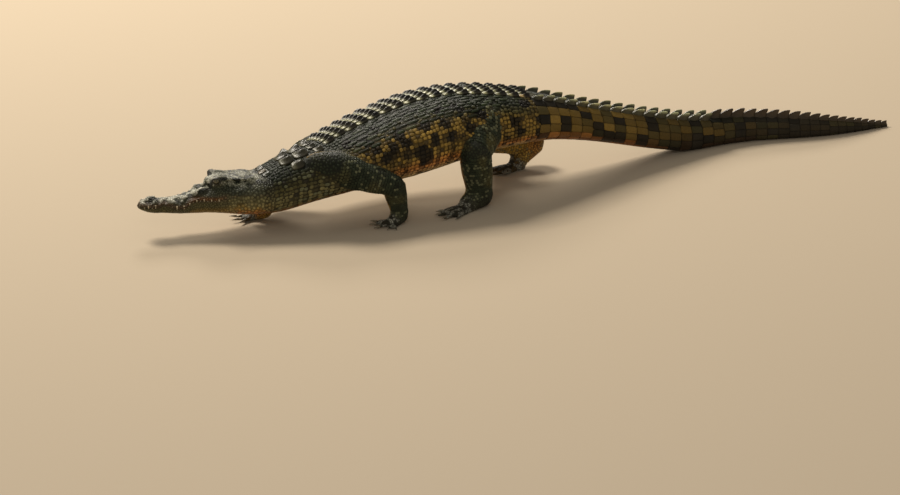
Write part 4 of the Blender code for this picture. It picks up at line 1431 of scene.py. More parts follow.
@dataclass
class TailDress:
    """The tail's rings of plates and its crest of blades."""

    dresser: Dresser
    paired: int = 16
    pitch: float = 0.0425
    paired_height: tuple[float, float] = (0.022, 0.030)
    paired_thick: float = 0.0135
    paired_lean: float = 0.30
    apart: tuple[float, float] = (0.052, 0.013)
    single: int = 19
    single_pitch: tuple[float, float] = (0.0405, 0.0215)
    single_height: tuple[float, float] = (0.034, 0.008)
    single_thick: tuple[float, float] = (0.013, 0.007)
    paired_foot: float = 0.005   # half the room that a blade's foot takes among the plates
    single_foot: float = 0.0045
    plate_width: float = 0.0245
    lane_plate_width: float = 0.028    # plates between the two rows of blades
    grown: float = 0.82          # how far each blade reaches up its solid core
    first_y: float = -0.008

    def plan(self) -> None:
        """Work out where every whorl starts and how long it is."""
        form = self.dresser.skin.form
        start = form.station_of_y(self.first_y)
        total = form.spine_s[-1] - start - self.paired * self.pitch
        singles = np.linspace(*self.single_pitch, self.single)
        singles *= (total - 0.004) / singles.sum()
        self.lengths = np.concatenate((np.full(self.paired, self.pitch), singles))
        self.starts = start + np.concatenate(([0], np.cumsum(self.lengths)[:-1]))

    def build(self, plates: Material, blades: Material) -> list[Piece]:
        """Lay the crest, then the plates round it."""
        self.plan()
        return [self._crest(blades), self._whorls(plates)]

    def _crest(self, dress: Material) -> Piece:
        """Both runs of blades as one piece."""
        coat, paired, single = Coat("tail_crest"), fin(0.02, 0.38, 0.22), fin(0.20, 0.32, 0.16)
        for i, (start, length) in enumerate(zip(self.starts, self.lengths)):
            if i < self.paired:
                height = between(self.paired_height, i / (self.paired - 1))
                for side in (1, -1):
                    self._blade(coat, paired, start, length, height, self.paired_thick,
                                side * self._apart(i), side * self.paired_lean)
            else:
                t = (i - self.paired) / (self.single - 1)
                height, thick = between(self.single_height, t ** 1.25), between(self.single_thick, t)
                self._blade(coat, single, start, length, height, thick * 1.15, 0.0, 0.0)
        return coat.finish(dress)

    def _apart(self, i: int) -> float:
        """How far each of a pair of blades stands from the midline."""
        return between(self.apart, min(i / (self.paired - 1), 1.0) ** 0.8)

    def _blade(self, coat: Coat, shape: Scale, start: float, length: float, height: float,
               thick: float, offset: float, lean: float) -> None:
        """One blade standing on the tail.

        Args:
            coat, shape: The piece it joins, and the blade.
            start, length: Where its foot starts and how long it is.
            height, thick: Its height and thickness.
            offset: Distance from the midline, 0 for a single blade.
            lean: How far it leans outward for each unit of height.
        """
        form, chance = self.dresser.skin.form, self.dresser.chance
        girth = float(form.girth_at(start + length / 2))
        local = shape.points
        s = start + length * (0.5 + (0.90 if offset else 1.02) * local[:, 1])
        v = np.full(len(s), offset / girth)
        foot, out, along = form.surface(np.clip(s, 0, form.stations[-1]), v)
        across = unit(np.cross(along, out))
        up = np.maximum(local[:, 2], -0.1) * (height + 0.004) * self.grown * chance.uniform(0.95, 1.05)
        if offset == 0.0:
            foot[:, 2] -= 0.001
        rise = np.array((0.0, 0.0, 1.0)) + across * lean
        points = foot + rise * up[:, None] + across * (local[:, 0] * thick)[:, None]
        middle, level = np.array([start + length / 2]), np.array([offset / girth])
        base = self.dresser.marks.body(middle, level, form.surface(middle, level)[0])
        foot = Tint.SLATE * 1.6 + Tint.BROWN * 0.2 if offset else Tint.BROWN * 0.35
        tint = mixed(base, foot, np.array([0.75])) * chance.uniform(0.75, 1.2)
        # painted shade at the blade's foot and a painted highlight on its top, strongest on the paired
        # blades
        coat.add(shape, points[None], tint, body_unwrap(middle, level), 0.6, 7.0 if offset else 1.6)

    def _whorls(self, dress: Material) -> Piece:
        """The rings of plates as one piece."""
        dresser, form, chance = self.dresser, self.dresser.skin.form, self.dresser.chance
        coat, shape = Coat("scales_tail"), pad(16, 12.0, 0.07, 0.16)
        rows = []
        for i, (start, length) in enumerate(zip(self.starts, self.lengths)):
            s = start + 0.5 * length
            girth = float(form.girth_at(s))
            offset = self._apart(i)
            crest = (offset + self.paired_foot if i < self.paired else self.single_foot) / girth
            wide = self.plate_width * (length / self.pitch) ** 0.5
            count = int(np.clip(round((1 - crest) * girth / wide), 3, 8))
            edges = np.linspace(crest, 1.0, count + 1)
            for side, k in product((1.0, -1.0), range(count)):
                rows.append((s, side * 0.5 * (edges[k] + edges[k + 1]), length,
                             (edges[k + 1] - edges[k]) * girth, i))
            lane = 2 * (offset - self.paired_foot)
            if i < self.paired and offset > 0.012:
                inner = max(int(round(lane / self.lane_plate_width)), 1)
                for k in range(inner):
                    middle = ((k + 0.5) / inner - 0.5) * lane / girth
                    rows.append((s, middle, length, lane / inner, i))
        table = np.array(rows)
        points, _, _ = form.surface(table[:, 0], table[:, 1])
        keep = dresser.on_skin(points)
        table, points = table[keep], points[keep]
        whorl = table[:, 4].astype(int)
        colours = dresser.marks.body(table[:, 0], table[:, 1], points, whorl)
        colours = colours * chance.uniform(0.60, 1.30, (len(table), 1))
        dusky = chance.uniform(0, 1, len(table)) < 0.22
        colours = mixed(colours, Tint.OLIVE * 0.5, dusky * chance.uniform(0.3, 0.8, len(table)))
        height = np.interp(table[:, 0], (1.3, 2.0, 2.5), (0.0030, 0.0026, 0.0015))
        dresser.wrap(coat, shape, table[:, 0], table[:, 1], table[:, 3] * 0.95, table[:, 2] * 0.955,
                     height, colours, 0.012, 0.16)
        return coat.finish(dress)


@dataclass
class LimbScales:
    """Rings of scales round the legs."""

    dresser: Dresser
    legs: list[Limb]
    size: tuple[float, float] = (0.0120, 0.0072)

    def build(self, dress: Material) -> Piece:
        """Lay them as one piece."""
        coat, shape = Coat("scales_limbs"), pad(8, 2.8)
        for leg in self.legs:
            self._rings(coat, shape, leg)
        return coat.finish(dress)

    def _rings(self, coat: Coat, shape: Scale, leg: Limb) -> None:
        """Rings along the limb's two long bones.

        Args:
            coat, shape: The piece they join, and the scale.
            leg: The limb.
        """
        dresser, chance = self.dresser, self.dresser.chance
        tree = dresser.skin.leg_trees[leg.name]
        found, ring = [], 0
        bones = leg.bones()[:2]
        total, before = sum((b - a).length for a, b, _, _ in bones), 0.0
        sizes = (self.size[0] * (1.0 if leg.zone is Zone.HIND else 0.8), self.size[1])
        for start, stop, wide, narrow in bones:
            run = stop - start
            way = run.normalized()
            across, along = way.orthogonal().normalized(), 0.0
            other = way.cross(across)
            while along < run.length:
                size = between(sizes, (before + along) / total)
                radius = wide + (narrow - wide) * along / run.length
                count = max(int(round(2 * math.pi * radius / size)), 8)
                for k in range(count):
                    turn = 2 * math.pi * (k + 0.5 * (ring % 2)) / count
                    out = across * math.cos(turn) + other * math.sin(turn)
                    hit, normal, _, _ = tree.ray_cast(start + way * along, out, 0.2)
                    if hit:
                        normal = normal if normal.dot(out) > 0 else -normal
                        found.append((*hit, *normal, *way, size))
                along += size * 0.98
                ring += 1
            before += run.length
        table = np.array(found)
        keep = dresser.on_skin(table[:, :3], 0.0014) & dresser.uncovered(table[:, :3], table[:, 9] * 0.45)
        table = self._thinned(table[keep & (table[:, 2] > 0.012)])
        points, normals = table[:, :3], table[:, 3:6]
        size = table[:, 9] * chance.uniform(0.92, 1.08, len(table))
        places = dresser.anatomy.locate(points, normals)
        places.on_body[:] = False
        colours = paint(dresser.marks, places, points, self.legs)
        colours *= chance.uniform(0.7, 1.35, (len(table), 1))
        pale = chance.uniform(0, 1, len(table)) < (0.24 if leg.zone is Zone.HIND else 0.16)
        colours[pale] = mixed(colours[pale], Tint.MOSS * 1.3, np.full(pale.sum(), 0.75))
        dresser.stand(coat, shape, points, normals, table[:, 6:9], size * 0.98, size * 0.96,
                      size * 0.17, colours, places.unwrap())

    @staticmethod
    def _thinned(table: Array) -> Array:
        """Drop scales that crowd an earlier one, as inside a bent knee."""
        tree = kd_tree(table[:, :3])
        gone = np.zeros(len(table), bool)
        for i, row in enumerate(table):
            if not gone[i]:
                for _, j, _ in tree.find_range(row[:3], row[9] * 0.62):
                    gone[j] |= j > i
        return table[~gone]


NEIGHBOURS = tuple(product((-1, 0, 1), repeat=3))      # steps to the cells round a cell


@dataclass
class FillScales:
    """Small scales wherever no larger ones lie: face, throat, limb roots and feet."""

    dresser: Dresser
    legs: list[Limb]
    tries: int = 150000
    clear: float = 0.0052    # distance kept from every larger scale
    rounds: int = 2
    cell: float = 0.010      # grid step of the search for close neighbours

    def build(self, face: Material, plain: Material) -> list[Piece]:
        """Scatter them evenly and lay them as a face piece and a foot and joint piece."""
        points, normals = self._scatter()
        open_skin = self.dresser.uncovered(points, self.clear)
        points, normals = points[open_skin], normals[open_skin]
        places = self.dresser.anatomy.locate(points, normals)
        size = self._size(points, places)
        chosen = self._spaced(points, size)
        seeds, seed_size = points[chosen], size[chosen]
        for _ in range(self.rounds):
            seeds = self._relaxed(seeds, points)
        nearest = self._nearest(seeds, points)
        points, normals, size = points[nearest], normals[nearest], seed_size
        places = self.dresser.anatomy.locate(points, normals)
        head = places.on_body & (places.s < NAPE_START)
        made = []
        for name, here, dress in (("scales_face", head, face), ("scales_joints_and_feet", ~head, plain)):
            made.append(self._lay(name, dress, points[here], normals[here], size[here]))
        return made

    def _scatter(self) -> tuple[Array, Array]:
        """Random points spread evenly by area over the skin, with normals."""
        skin, form = self.dresser.skin.skin, self.dresser.skin.form
        skin.data.calc_loop_triangles()
        count = len(skin.data.loop_triangles)
        corners = np.empty(count * 3, np.int32)
        skin.data.loop_triangles.foreach_get("vertices", corners)
        co, corners = points_of(skin), corners.reshape(-1, 3)
        a, b, c = (co[corners[:, i]] for i in range(3))
        area = 0.5 * np.linalg.norm(np.cross(b - a, c - a), axis=1)
        middle = (a + b + c) / 3
        head = np.interp(middle[:, 1], form.spine_y, form.spine_s) < 0.42
        weight = area * (1 + 2.5 * head + 1.5 * (middle[:, 2] < 0.06))
        chance = self.dresser.chance
        pick = chance.choice(count, self.tries, p=weight / weight.sum())
        u, w = chance.uniform(0, 1, (2, self.tries))
        flip = u + w > 1
        u[flip], w[flip] = 1 - u[flip], 1 - w[flip]
        mix = np.stack((1 - u - w, u, w), 1)[..., None]
        points = (np.stack((a[pick], b[pick], c[pick]), 1) * mix).sum(1)
        return points, unit((normals_of(skin)[corners[pick]] * mix).sum(1))

    def _size(self, points: Array, places: Places) -> Array:
        """Spacing of the scales at each point."""
        _, forward, _ = SKULL.inside(points)
        head = 0.0050 + 0.0048 * (1 - ease(0.02, 0.16, forward)) * ease(0.18, 0.40, np.abs(places.v))
        body = np.interp(places.s, (0.36, 0.45, 0.8, 1.3), (0.0066, 0.0080, 0.0095, 0.0095))
        limb = np.interp(places.share, (0.0, 0.5, 0.85, 1.0, 1.3), (0.0092, 0.0080, 0.0064, 0.0052, 0.0044))
        on_head = places.on_body & (places.s < 0.38)
        return np.where(on_head, head, np.where(places.on_body, body, limb))

    def _spaced(self, points: Array, size: Array) -> Array:
        """Numbers of points picked so that none stands too near another."""
        keys = np.floor(points / self.cell).astype(int).tolist()
        held: dict[tuple[int, int, int], list[int]] = {}
        flat, chosen = points.tolist(), []
        for i, (x, y, z) in enumerate(keys):
            px, py, pz = flat[i]
            room = (size[i] * 0.86) ** 2
            near = (flat[j] for dx, dy, dz in NEIGHBOURS for j in held.get((x + dx, y + dy, z + dz), ()))
            if not any((px - q[0]) ** 2 + (py - q[1]) ** 2 + (pz - q[2]) ** 2 < room for q in near):
                held.setdefault((x, y, z), []).append(i)
                chosen.append(i)
        return np.array(chosen)

    @staticmethod
    def _nearest(points: Array, pool: Array) -> Array:
        """For each point the number of the nearest in the pool."""
        tree = kd_tree(pool)
        return np.array([tree.find(p)[1] for p in points])

    def _relaxed(self, seeds: Array, pool: Array) -> Array:
        """Move every seed to the middle of the points nearest to it."""
        owner = self._nearest(pool, seeds)
        total = np.bincount(owner, minlength=len(seeds))[:, None]
        middle = np.stack([np.bincount(owner, pool[:, i], len(seeds)) for i in range(3)], 1)
        return np.where(total > 0, middle / np.maximum(total, 1), seeds)

    def _lay(self, name: str, dress: Material, points: Array, normals: Array, size: Array) -> Piece:
        """Lay one piece of small scales.

        Args:
            name, dress: The piece's name and material.
            points, normals: Where they stand.
            size: Their sizes.
        """
        dresser, chance, coat = self.dresser, self.dresser.chance, Coat(name)
        places = dresser.anatomy.locate(points, normals)
        colours = paint(dresser.marks, places, points, self.legs)
        colours = colours * chance.uniform(0.75, 1.3, (len(points), 1))
        flat = np.where(places.on_body & (places.s < dresser.skin.form.head_end), 0.13, 0.17)
        dresser.stand(coat, bead(), points, normals, places.along, size * 1.02, size * 1.04,
                      size * flat, colours, places.unwrap(), 0.08, 0.25)
        return coat.finish(dress)


# ------------------------------------------------------------------ the face
@dataclass
class Face:
    """Lids, nostrils, mouth line, ear flaps and rough bone, modelled into the skin."""

    skin: Skin
    eye: tuple[float, float, float] = EYE_PLACE
    ball: float = 0.0104
    nostril: tuple[float, float, float] = (0.0095, 0.3150, 0.1190)
    ear: tuple[float, float] = (0.088, 0.030)

    def model(self) -> None:
        """Refine the mesh round each feature, then move its points."""
        piece = self.skin.skin
        self._refine(0.0215, True)
        self._refine(0.0165, False)
        self._smooth_orbits()
        points, normals = points_of(piece), normals_of(piece).astype(float)
        for shape in (self._mouth, self._ears, self._bone, self._nostrils):
            points = points + normals * shape(points, normals)[:, None]
        points = self._brows(points, normals)
        for side in Side:
            points = self._lids(points, side)
        move_points(piece, points)
        apply_modifier(piece, "TRIANGULATE", min_vertices=5)

    def eye_axes(self, side: Side) -> tuple[Array, Array, Array, Array]:
        """The eye's middle, and its own outward, forward and upward directions."""
        left, ahead = SKULL.axes()
        up = np.array((0.0, 0.0, 1.0))
        look = unit(left * side.value + 0.22 * ahead + 0.16 * up)
        across = unit(ahead - look * (ahead @ look))
        rise = unit(up - look * (up @ look) - across * (up @ across))
        middle = SKULL.point(self.eye[0] * side.value, self.eye[1], self.eye[2])
        return middle, look, across, rise

    def _refine(self, reach: float, lines: bool) -> None:
        """Divide the faces of features into smaller ones.

        Args:
            reach: How far from each eye.
            lines: Whether the mouth, ears and nostrils are divided too.
        """
        piece = self.skin.skin
        open_mesh(piece)
        bpy.ops.mesh.select_mode(type="FACE")
        bpy.ops.mesh.select_all(action="DESELECT")
        shell = bmesh.from_edit_mesh(piece.data)
        middle = np.array([f.calc_center_median() for f in shell.faces])
        side, forward, height = SKULL.inside(middle)
        here = np.zeros(len(middle), bool)
        for flank in Side:
            centre = self.eye_axes(flank)[0]
            here |= np.linalg.norm(middle - centre, axis=1) < reach
        if lines:
            head = (forward > 0.02) & (np.abs(side) < 0.09)
            here |= head & (np.abs(height - mouth_height(forward)) < 0.0065) & (forward > 0.06)
            nose = np.hypot(np.abs(side) - self.nostril[0], forward - self.nostril[1])
            here |= (nose < 0.013) & (height > 0.108)
            here |= head & (forward < self.ear[0] + 0.008) & (np.abs(side) > 0.03) & (
                np.abs(height - self._ear_height(forward)) < 0.007)
        for face, chosen in zip(shell.faces, here):
            face.select = bool(chosen)
        bmesh.update_edit_mesh(piece.data)
        bpy.ops.mesh.subdivide(number_cuts=1, smoothness=0.0)
        bpy.ops.mesh.select_mode(type="VERT")
        close_mesh()

    def _smooth_orbits(self) -> None:
        """Ease the surface round the eyes."""
        piece = self.skin.skin
        points = points_of(piece)
        group = piece.vertex_groups.new(name="orbit")
        for side in Side:
            away = np.linalg.norm(points - self.eye_axes(side)[0], axis=1)
            for i in np.nonzero(away < 0.040)[0]:
                group.add([int(i)], float(min(1.0, 1.6 - away[i] / 0.025)), "REPLACE")
        apply_modifier(piece, "SMOOTH", factor=0.5, iterations=8, vertex_group="orbit")
        piece.vertex_groups.clear()

    def _ear_height(self, forward: Array) -> Array:
        """Height of the ear slit's line."""
        return 0.1640 + 0.03 * (np.asarray(forward) - self.ear[1])

    def _mouth(self, points: Array, normals: Array) -> Array:
        """The groove between the lips, and the lips' swell over the teeth."""
        side, forward, height = SKULL.inside(points)
        gap = height - mouth_height(forward)
        here = ease(0.060, 0.080, forward) * (np.abs(side) > 0.004) * (forward < 0.37)
        groove = -0.0024 * hump(gap, 0.0, 0.0014)
        wave = 0.5 + 0.5 * np.sin(forward * 2 * math.pi / 0.0175)
        upper = (0.0008 + 0.0010 * wave) * hump(gap, 0.0045, 0.0030) * ease(0.13, 0.16, forward)
        lower = (0.0006 + 0.0008 * (1 - wave)) * hump(gap, -0.0042, 0.0028)
        outward = 1 - np.abs(normals[:, 2]) ** 3
        return (groove + upper + lower) * here * outward

    def _ears(self, points: Array, _: Array) -> Array:
        """The slit under the edge of the skull's table and the flap over it."""
        side, forward, height = SKULL.inside(points)
        gap = height - self._ear_height(forward)
        along = ease(self.ear[1] - 0.010, self.ear[1], forward) * (
            1 - ease(self.ear[0] - 0.004, self.ear[0] + 0.008, forward))
        here = along * (np.abs(side) > 0.028)
        move = -0.0038 * hump(gap, 0.0, 0.0018) + 0.0022 * hump(gap, 0.0046, 0.0030)
        return move * here

    def _bone(self, points: Array, normals: Array) -> Array:
        """Rugged bone under the hide of the snout and the skull's top."""
        side, forward, _ = SKULL.inside(points)
        top = ease(0.15, 0.55, normals[:, 2]) * ease(-0.004, 0.02, forward)
        snout = ease(0.14, 0.18, forward)
        lumps = (np.maximum(value_noise(points, 0.0105, 21), -0.30) * 0.0050
                 + value_noise(points, 0.0050, 22) * 0.0008)
        ridge = hump(np.abs(side), 0.012, 0.005) * hump(forward, 0.205, 0.055) * 0.0012
        knob = hump(np.abs(side), 0.020, 0.007) * hump(forward, 0.262, 0.012) * 0.0014
        move = (lumps * (0.35 + 0.65 * snout) + ridge + knob) * top
        cheek = value_noise(points, 0.012, 23) * 0.0005 * ease(-0.02, 0.02, forward)
        return move + cheek

    def _brows(self, points: Array, normals: Array) -> Array:
        """A long low swell that carries the brow over the eyeball's crown."""
        side, forward, _ = SKULL.inside(points)
        swell = hump(np.abs(side), self.eye[0] - 0.006, 0.014) * hump(forward, self.eye[1] - 0.006, 0.026)
        out = points.copy()
        out[:, 2] += 0.0008 * swell * ease(0.2, 0.7, normals[:, 2])
        return out

    def _nostrils(self, points: Array, normals: Array) -> Array:
        """Two crescent pits with raised rims."""
        side, forward, height = SKULL.inside(points)
        across = (np.abs(side) - self.nostril[0]) / 0.0030
        ahead = (forward - self.nostril[1] - 0.10 * (np.abs(side) - self.nostril[0])) / 0.0052
        away = np.hypot(across, ahead)
        here = (height > 0.108) & (normals[:, 2] > 0.1)
        return (-0.0040 * (1 - ease(0.45, 1.05, away)) + 0.0011 * hump(away, 1.45, 0.40)) * here

    def _lids(self, points: Array, side: Side) -> Array:
        """An almond opening over the eyeball, with thick lid rims and a fold over them."""
        middle, look, across, rise = self.eye_axes(side)
        rest = points - middle
        away = np.linalg.norm(rest, axis=1)
        u, w, d = (rest @ a / self.ball for a in (across, rise, look))
        span = np.clip(1 - (np.abs(u + 0.04) / 0.92) ** 2.2, 0, 1)
        upper, lower = 0.56 * span, -0.50 * span ** 1.15
        inside = np.minimum(upper - w, w - lower)
        gap = np.where(np.abs(u) < 0.92, -inside, np.abs(u) - 0.92 + np.abs(w) * 0.4)
        facing = ease(-1.2, -0.9, d)
        near = 1 - ease(1.25, 1.9, away / self.ball)
        lid = self.ball * (1.05 + 0.10 * hump(gap, 0.07, 0.10) - 0.035 * hump(gap, 0.34, 0.10))
        socket = self.ball * 0.78
        open_share = (1 - ease(-0.06, 0.035, gap)) * ease(-0.1, 0.2, d)
        target = lid + (socket - lid) * open_share
        raised = np.maximum(away, target)
        wanted = np.where(open_share > 0.02, target, raised)
        wanted = away + (wanted - away) * facing * near
        wanted = np.where((open_share <= 0.02) & (away > self.ball * 1.15),
                          away + 0.0006 * hump(gap, 0.62, 0.16) * near, wanted)
        return middle + rest * (wanted / np.maximum(away, 1e-6))[:, None]


@dataclass
class Eyes:
    """Two eyeballs with an upright slit pupil."""

    face: Face
    share: float = 0.985

    def build(self, dress: Material) -> list[Piece]:
        """Model both and hide the plain ones."""
        made = []
        for side, name in ((Side.LEFT, "left"), (Side.RIGHT, "right")):
            middle, look, across, rise = self.face.eye_axes(side)
            ball = primitive(bpy.ops.mesh.primitive_uv_sphere_add, segments=40, ring_count=24,
                             radius=self.face.ball * self.share, location=(0, 0, 0))
            ball.name = f"eyeball_{name}"
            points = points_of(ball)
            flat = points / self.face.ball
            cornea = 0.06 * np.clip(flat[:, 2] - 0.80, 0, 1) / 0.2
            basis = np.stack((across * side.value, rise, look))
            moved = (points * (1 + cornea[:, None])) @ basis + middle
            bpy.ops.object.shade_smooth()
            layer = ball.data.uv_layers.new(name="Iris")
            for loop in ball.data.loops:
                x, y, _ = flat[loop.vertex_index]
                layer.data[loop.index].uv = (0.5 + 0.5 * x, 0.5 + 0.5 * y)
            move_points(ball, moved)
            open_mesh(ball)
            close_mesh(outward=True)
            ball.data.materials.append(dress)
            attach(ball, "root")
            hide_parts(f"eye_{name}")
            made.append(ball)
        return made


def cone_pattern(sides: int, tip: float, cuts: int) -> Piece:
    """A cone 1 high and 1 in radius at its foot, cut along its height.

    Args:
        sides: Corners round it.
        tip: Radius at its tip.
        cuts: Cuts along its height.
    """
    pattern = primitive(bpy.ops.mesh.primitive_cone_add, vertices=sides, radius1=1.0, radius2=tip,
                        depth=1.0, location=(0, 0, 0.5))
    open_mesh()
    bpy.ops.mesh.subdivide(number_cuts=cuts)
    close_mesh()
    return pattern


def copy_of(pattern: Piece, name: str, start: Array, axes: tuple[Array, ...],
            sizes: tuple[float, ...]) -> Piece:
    """A copy of a pattern, above the floor.

    Args:
        pattern: The modelled pattern.
        name: The copy's name.
        start: Where its foot's middle goes.
        axes: Directions that its own axes take.
        sizes: Its size along each.
    """
    moved = start + sum(points_of(pattern)[:, i:i + 1] * sizes[i] * axes[i] for i in range(3))
    moved[:, 2] = np.maximum(moved[:, 2], 0.0008)
    twin = new_object(name, pattern.data.copy())
    move_points(twin, moved)
    open_mesh(twin)
    close_mesh(outward=True)
    return twin


@dataclass(frozen=True)
class Tooth:
    """A tooth that shows: forward place, length, whether it points up, and root radius."""

    forward: float
    length: float
    upward: bool
    radius: float


@dataclass
class Teeth:
    """The teeth that show outside the closed lips."""

    skin: Skin
    large: tuple[Tooth, ...] = (
        Tooth(0.326, 0.0090, False, 0.0025), Tooth(0.305, 0.0115, False, 0.0029),
        Tooth(0.277, 0.0165, True, 0.0034), Tooth(0.241, 0.0130, False, 0.0034),
        Tooth(0.220, 0.0140, False, 0.0036), Tooth(0.337, 0.0070, True, 0.0020),
        Tooth(0.315, 0.0080, True, 0.0022), Tooth(0.255, 0.0075, True, 0.0024))
    small: tuple[float, float, int] = (0.203, 0.118, 9)

    def build(self, dress: Material) -> Piece:
        """Model one tooth, copy it to every place and join them."""
        pattern = cone_pattern(10, 0.08, 2)
        points = points_of(pattern)
        bulge = 1 + 0.22 * np.sin(np.clip(points[:, 2], 0, 1) * math.pi)
        points[:, :2] *= bulge[:, None]
        points[:, 0] -= 0.35 * points[:, 2] ** 2
        move_points(pattern, points)
        first, last, count = self.small
        row = [Tooth(float(f), 0.0078, k % 2 == 1, 0.0022)
               for k, f in enumerate(np.linspace(first, last, count))]
        teeth = joined([self._place(pattern, tooth, side)
                        for tooth, side in product((*self.large, *row), Side)], "teeth")
        bpy.data.objects.remove(pattern, do_unlink=True)
        bpy.ops.object.shade_smooth()
        teeth.data.materials.append(dress)
        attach(teeth, "root")
        return teeth

    def _place(self, pattern: Piece, tooth: Tooth, side: Side) -> Piece:
        """One tooth standing in the lip's edge.

        Args:
            pattern: The modelled tooth.
            tooth, side: Which one, and on which flank.
        """
        left, _ = SKULL.axes()
        line = float(mouth_height(tooth.forward))
        start = SKULL.point(0.12 * side.value, tooth.forward, line)
        sign = 1.0 if tooth.upward else -1.0
        reach = [0.0]
        for share in (0.0, 0.35, 0.7, 1.0):
            above = Vector(start) + Vector((0, 0, sign * share * tooth.length))
            hit = self.skin.tree.ray_cast(above, Vector(-left * side.value))[0]
            if hit:
                reach.append(float(SKULL.inside(np.array(hit)[None])[0][0]) * side.value)
        at = SKULL.point(max(reach) * side.value, tooth.forward, line)
        way = unit(np.array((0, 0, sign)) + 0.16 * left * side.value)
        out = unit(left * side.value - way * ((left * side.value) @ way))
        front = np.cross(way, out)
        root = at - left * side.value * tooth.radius * 0.55 - way * tooth.length * 0.22
        sizes = (tooth.radius, tooth.radius, tooth.length)
        return copy_of(pattern, "tooth", root, (out, front, way), sizes)


@dataclass
class Claws:
    """Three curved claws on each foot."""

    legs: list[Limb]
    length: float = 0.0225
    radius: float = 0.0048

    def build(self, dress: Material) -> list[Piece]:
        """Model one claw and set a copy at each clawed digit."""
        pattern = cone_pattern(14, 0.10, 5)
        points = points_of(pattern)
        z = points[:, 2].copy()
        points[:, 0] *= 0.86
        points[:, :2] *= (1 + 0.16 * np.sin(math.pi * z))[:, None]
        points[:, 1] += 0.55 * z ** 2
        move_points(pattern, points)
        made = []
        for leg in self.legs:
            number = 0
            for digit, (root, tip, radius) in zip(leg.digits, leg.digit_bones()):
                if digit.clawed:
                    number += 1
                    made.append(self._place(pattern, leg, number, root, tip, radius))
                    made[-1].data.materials.append(dress)
        bpy.data.objects.remove(pattern, do_unlink=True)
        return made

    def _place(self, pattern: Piece, leg: Limb, number: int, root: Vector, tip: Vector,
               radius: float) -> Piece:
        """One claw growing from its digit's end.

        Args:
            pattern: The modelled claw.
            leg, number: The limb, and the claw's number on it.
            root, tip, radius: The digit's bone.
        """
        name = f"claw_{leg.name}_{number}"
        way = unit(np.array(tip - root) * np.array((1, 1, 0.2)))
        down = unit(np.array((0, 0, -1.0)) - way * -way[2])
        across = np.cross(down, way)
        start = np.array(tip) + way * radius * 0.25 + np.array((0, 0, radius * 0.30))
        claw = copy_of(pattern, f"nail_{leg.name}_{number}", start, (across, down, way),
                       (self.radius, self.radius, self.length))
        bpy.ops.object.shade_smooth()
        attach(claw, "root")
        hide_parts(name)
        return claw


# ------------------------------------------------------------------ finishes
def new_group(name: str, inward: dict[str, float | tuple[float, ...]], outward: tuple[str, ...]) -> Tree:
    """A node group with its sockets.

    Args:
        name: The group's name.
        inward: Its inputs' names and values; a tuple is a colour.
        outward: Its outputs' names.
    """
    group = bpy.data.node_groups.new(name, "ShaderNodeTree")
    for label, value in inward.items():
        kind = "NodeSocketColor" if isinstance(value, tuple) else "NodeSocketFloat"
        group.interface.new_socket(name=label, in_out="INPUT", socket_type=kind).default_value = value
    for label in outward:
        kind = "NodeSocketColor" if label == "Color" else "NodeSocketFloat"
        group.interface.new_socket(name=label, in_out="OUTPUT", socket_type=kind)
    return group


def feed(tree: Tree, made: bpy.types.Node, **settings: object) -> bpy.types.Node:
    """Set a node's properties, and set or link its inputs.

    Args:
        tree: The tree it belongs to.
        made: The node.
        settings: By property, input label or input number: a value, a socket to link, or a node
            whose first output to link.
    """
    for key, value in settings.items():
        if hasattr(made, key):
            setattr(made, key, value)
            continue
        label = key.replace("_", " ").strip()
        entry = made.inputs[int(label) if label.isdigit() else label]
        if isinstance(value, bpy.types.Node):
            value = next(out for out in value.outputs if out.enabled)
        if isinstance(value, Socket):
            tree.links.new(value, entry)
        else:
            entry.default_value = value
    return made


def node(tree: Tree, kind: str, **settings: object) -> bpy.types.Node:
    """Add a node and feed it."""
    return feed(tree, tree.nodes.new(f"ShaderNode{kind}"), **settings)


def grain_group() -> None:
    """Fine creases and pores in hide or horn, as a mask and a height."""
    group = new_group("HideGrain", {"Fineness": 300.0, "Creases": 0.5}, ("Mask", "Height"))
    enter = group.nodes.new("NodeGroupInput").outputs
    place = node(group, "TexCoord").outputs["Object"]
    pores = node(group, "TexNoise", Detail=5.0, Roughness=0.62, Vector=place, Scale=enter["Fineness"])
    cracks = node(group, "TexVoronoi", feature="DISTANCE_TO_EDGE", Vector=place, Scale=enter["Fineness"])
    edge = node(group, "MapRange", From_Max=0.10, Value=cracks)
    scaled = node(group, "Math", operation="MULTIPLY", _0=edge, _1=pores)
    both = node(group, "Mix", Factor=enter["Creases"], A=pores, B=scaled)
    feed(group, group.nodes.new("NodeGroupOutput"), Height=both, Mask=pores)


def weather_group() -> None:
    """Dried mud and dust: patches that thicken toward the floor."""
    group = new_group("MudAndDust", {"Color": (1.0,) * 4, "Dust": (0.30, 0.24, 0.15, 1.0), "Amount": 0.3},
                      ("Color", "Mask"))
    enter = group.nodes.new("NodeGroupInput").outputs
    place = node(group, "TexCoord").outputs["Object"]
    low = node(group, "MapRange", From_Min=0.15, From_Max=0.0,
               Value=node(group, "SeparateXYZ", Vector=place).outputs["Z"])
    cloud = node(group, "TexNoise", Scale=14.0, Detail=6.0, Roughness=0.65, Vector=place)
    patch = node(group, "MapRange", From_Min=0.42, From_Max=0.72, Value=cloud)
    total = node(group, "Math", operation="ADD", _0=low, _1=patch)
    share = node(group, "Math", operation="MULTIPLY", use_clamp=True, _0=total, _1=enter["Amount"])
    blend = node(group, "Mix", data_type="RGBA", Factor=share, A=enter["Color"], B=enter["Dust"])
    feed(group, group.nodes.new("NodeGroupOutput"), Color=blend, Mask=share)


def new_material(name: str) -> tuple[Material, Tree, bpy.types.Node]:
    """A new material with its tree and its Principled shader."""
    made = bpy.data.materials.new(name)
    made.use_nodes = True
    return made, made.node_tree, made.node_tree.nodes["Principled BSDF"]


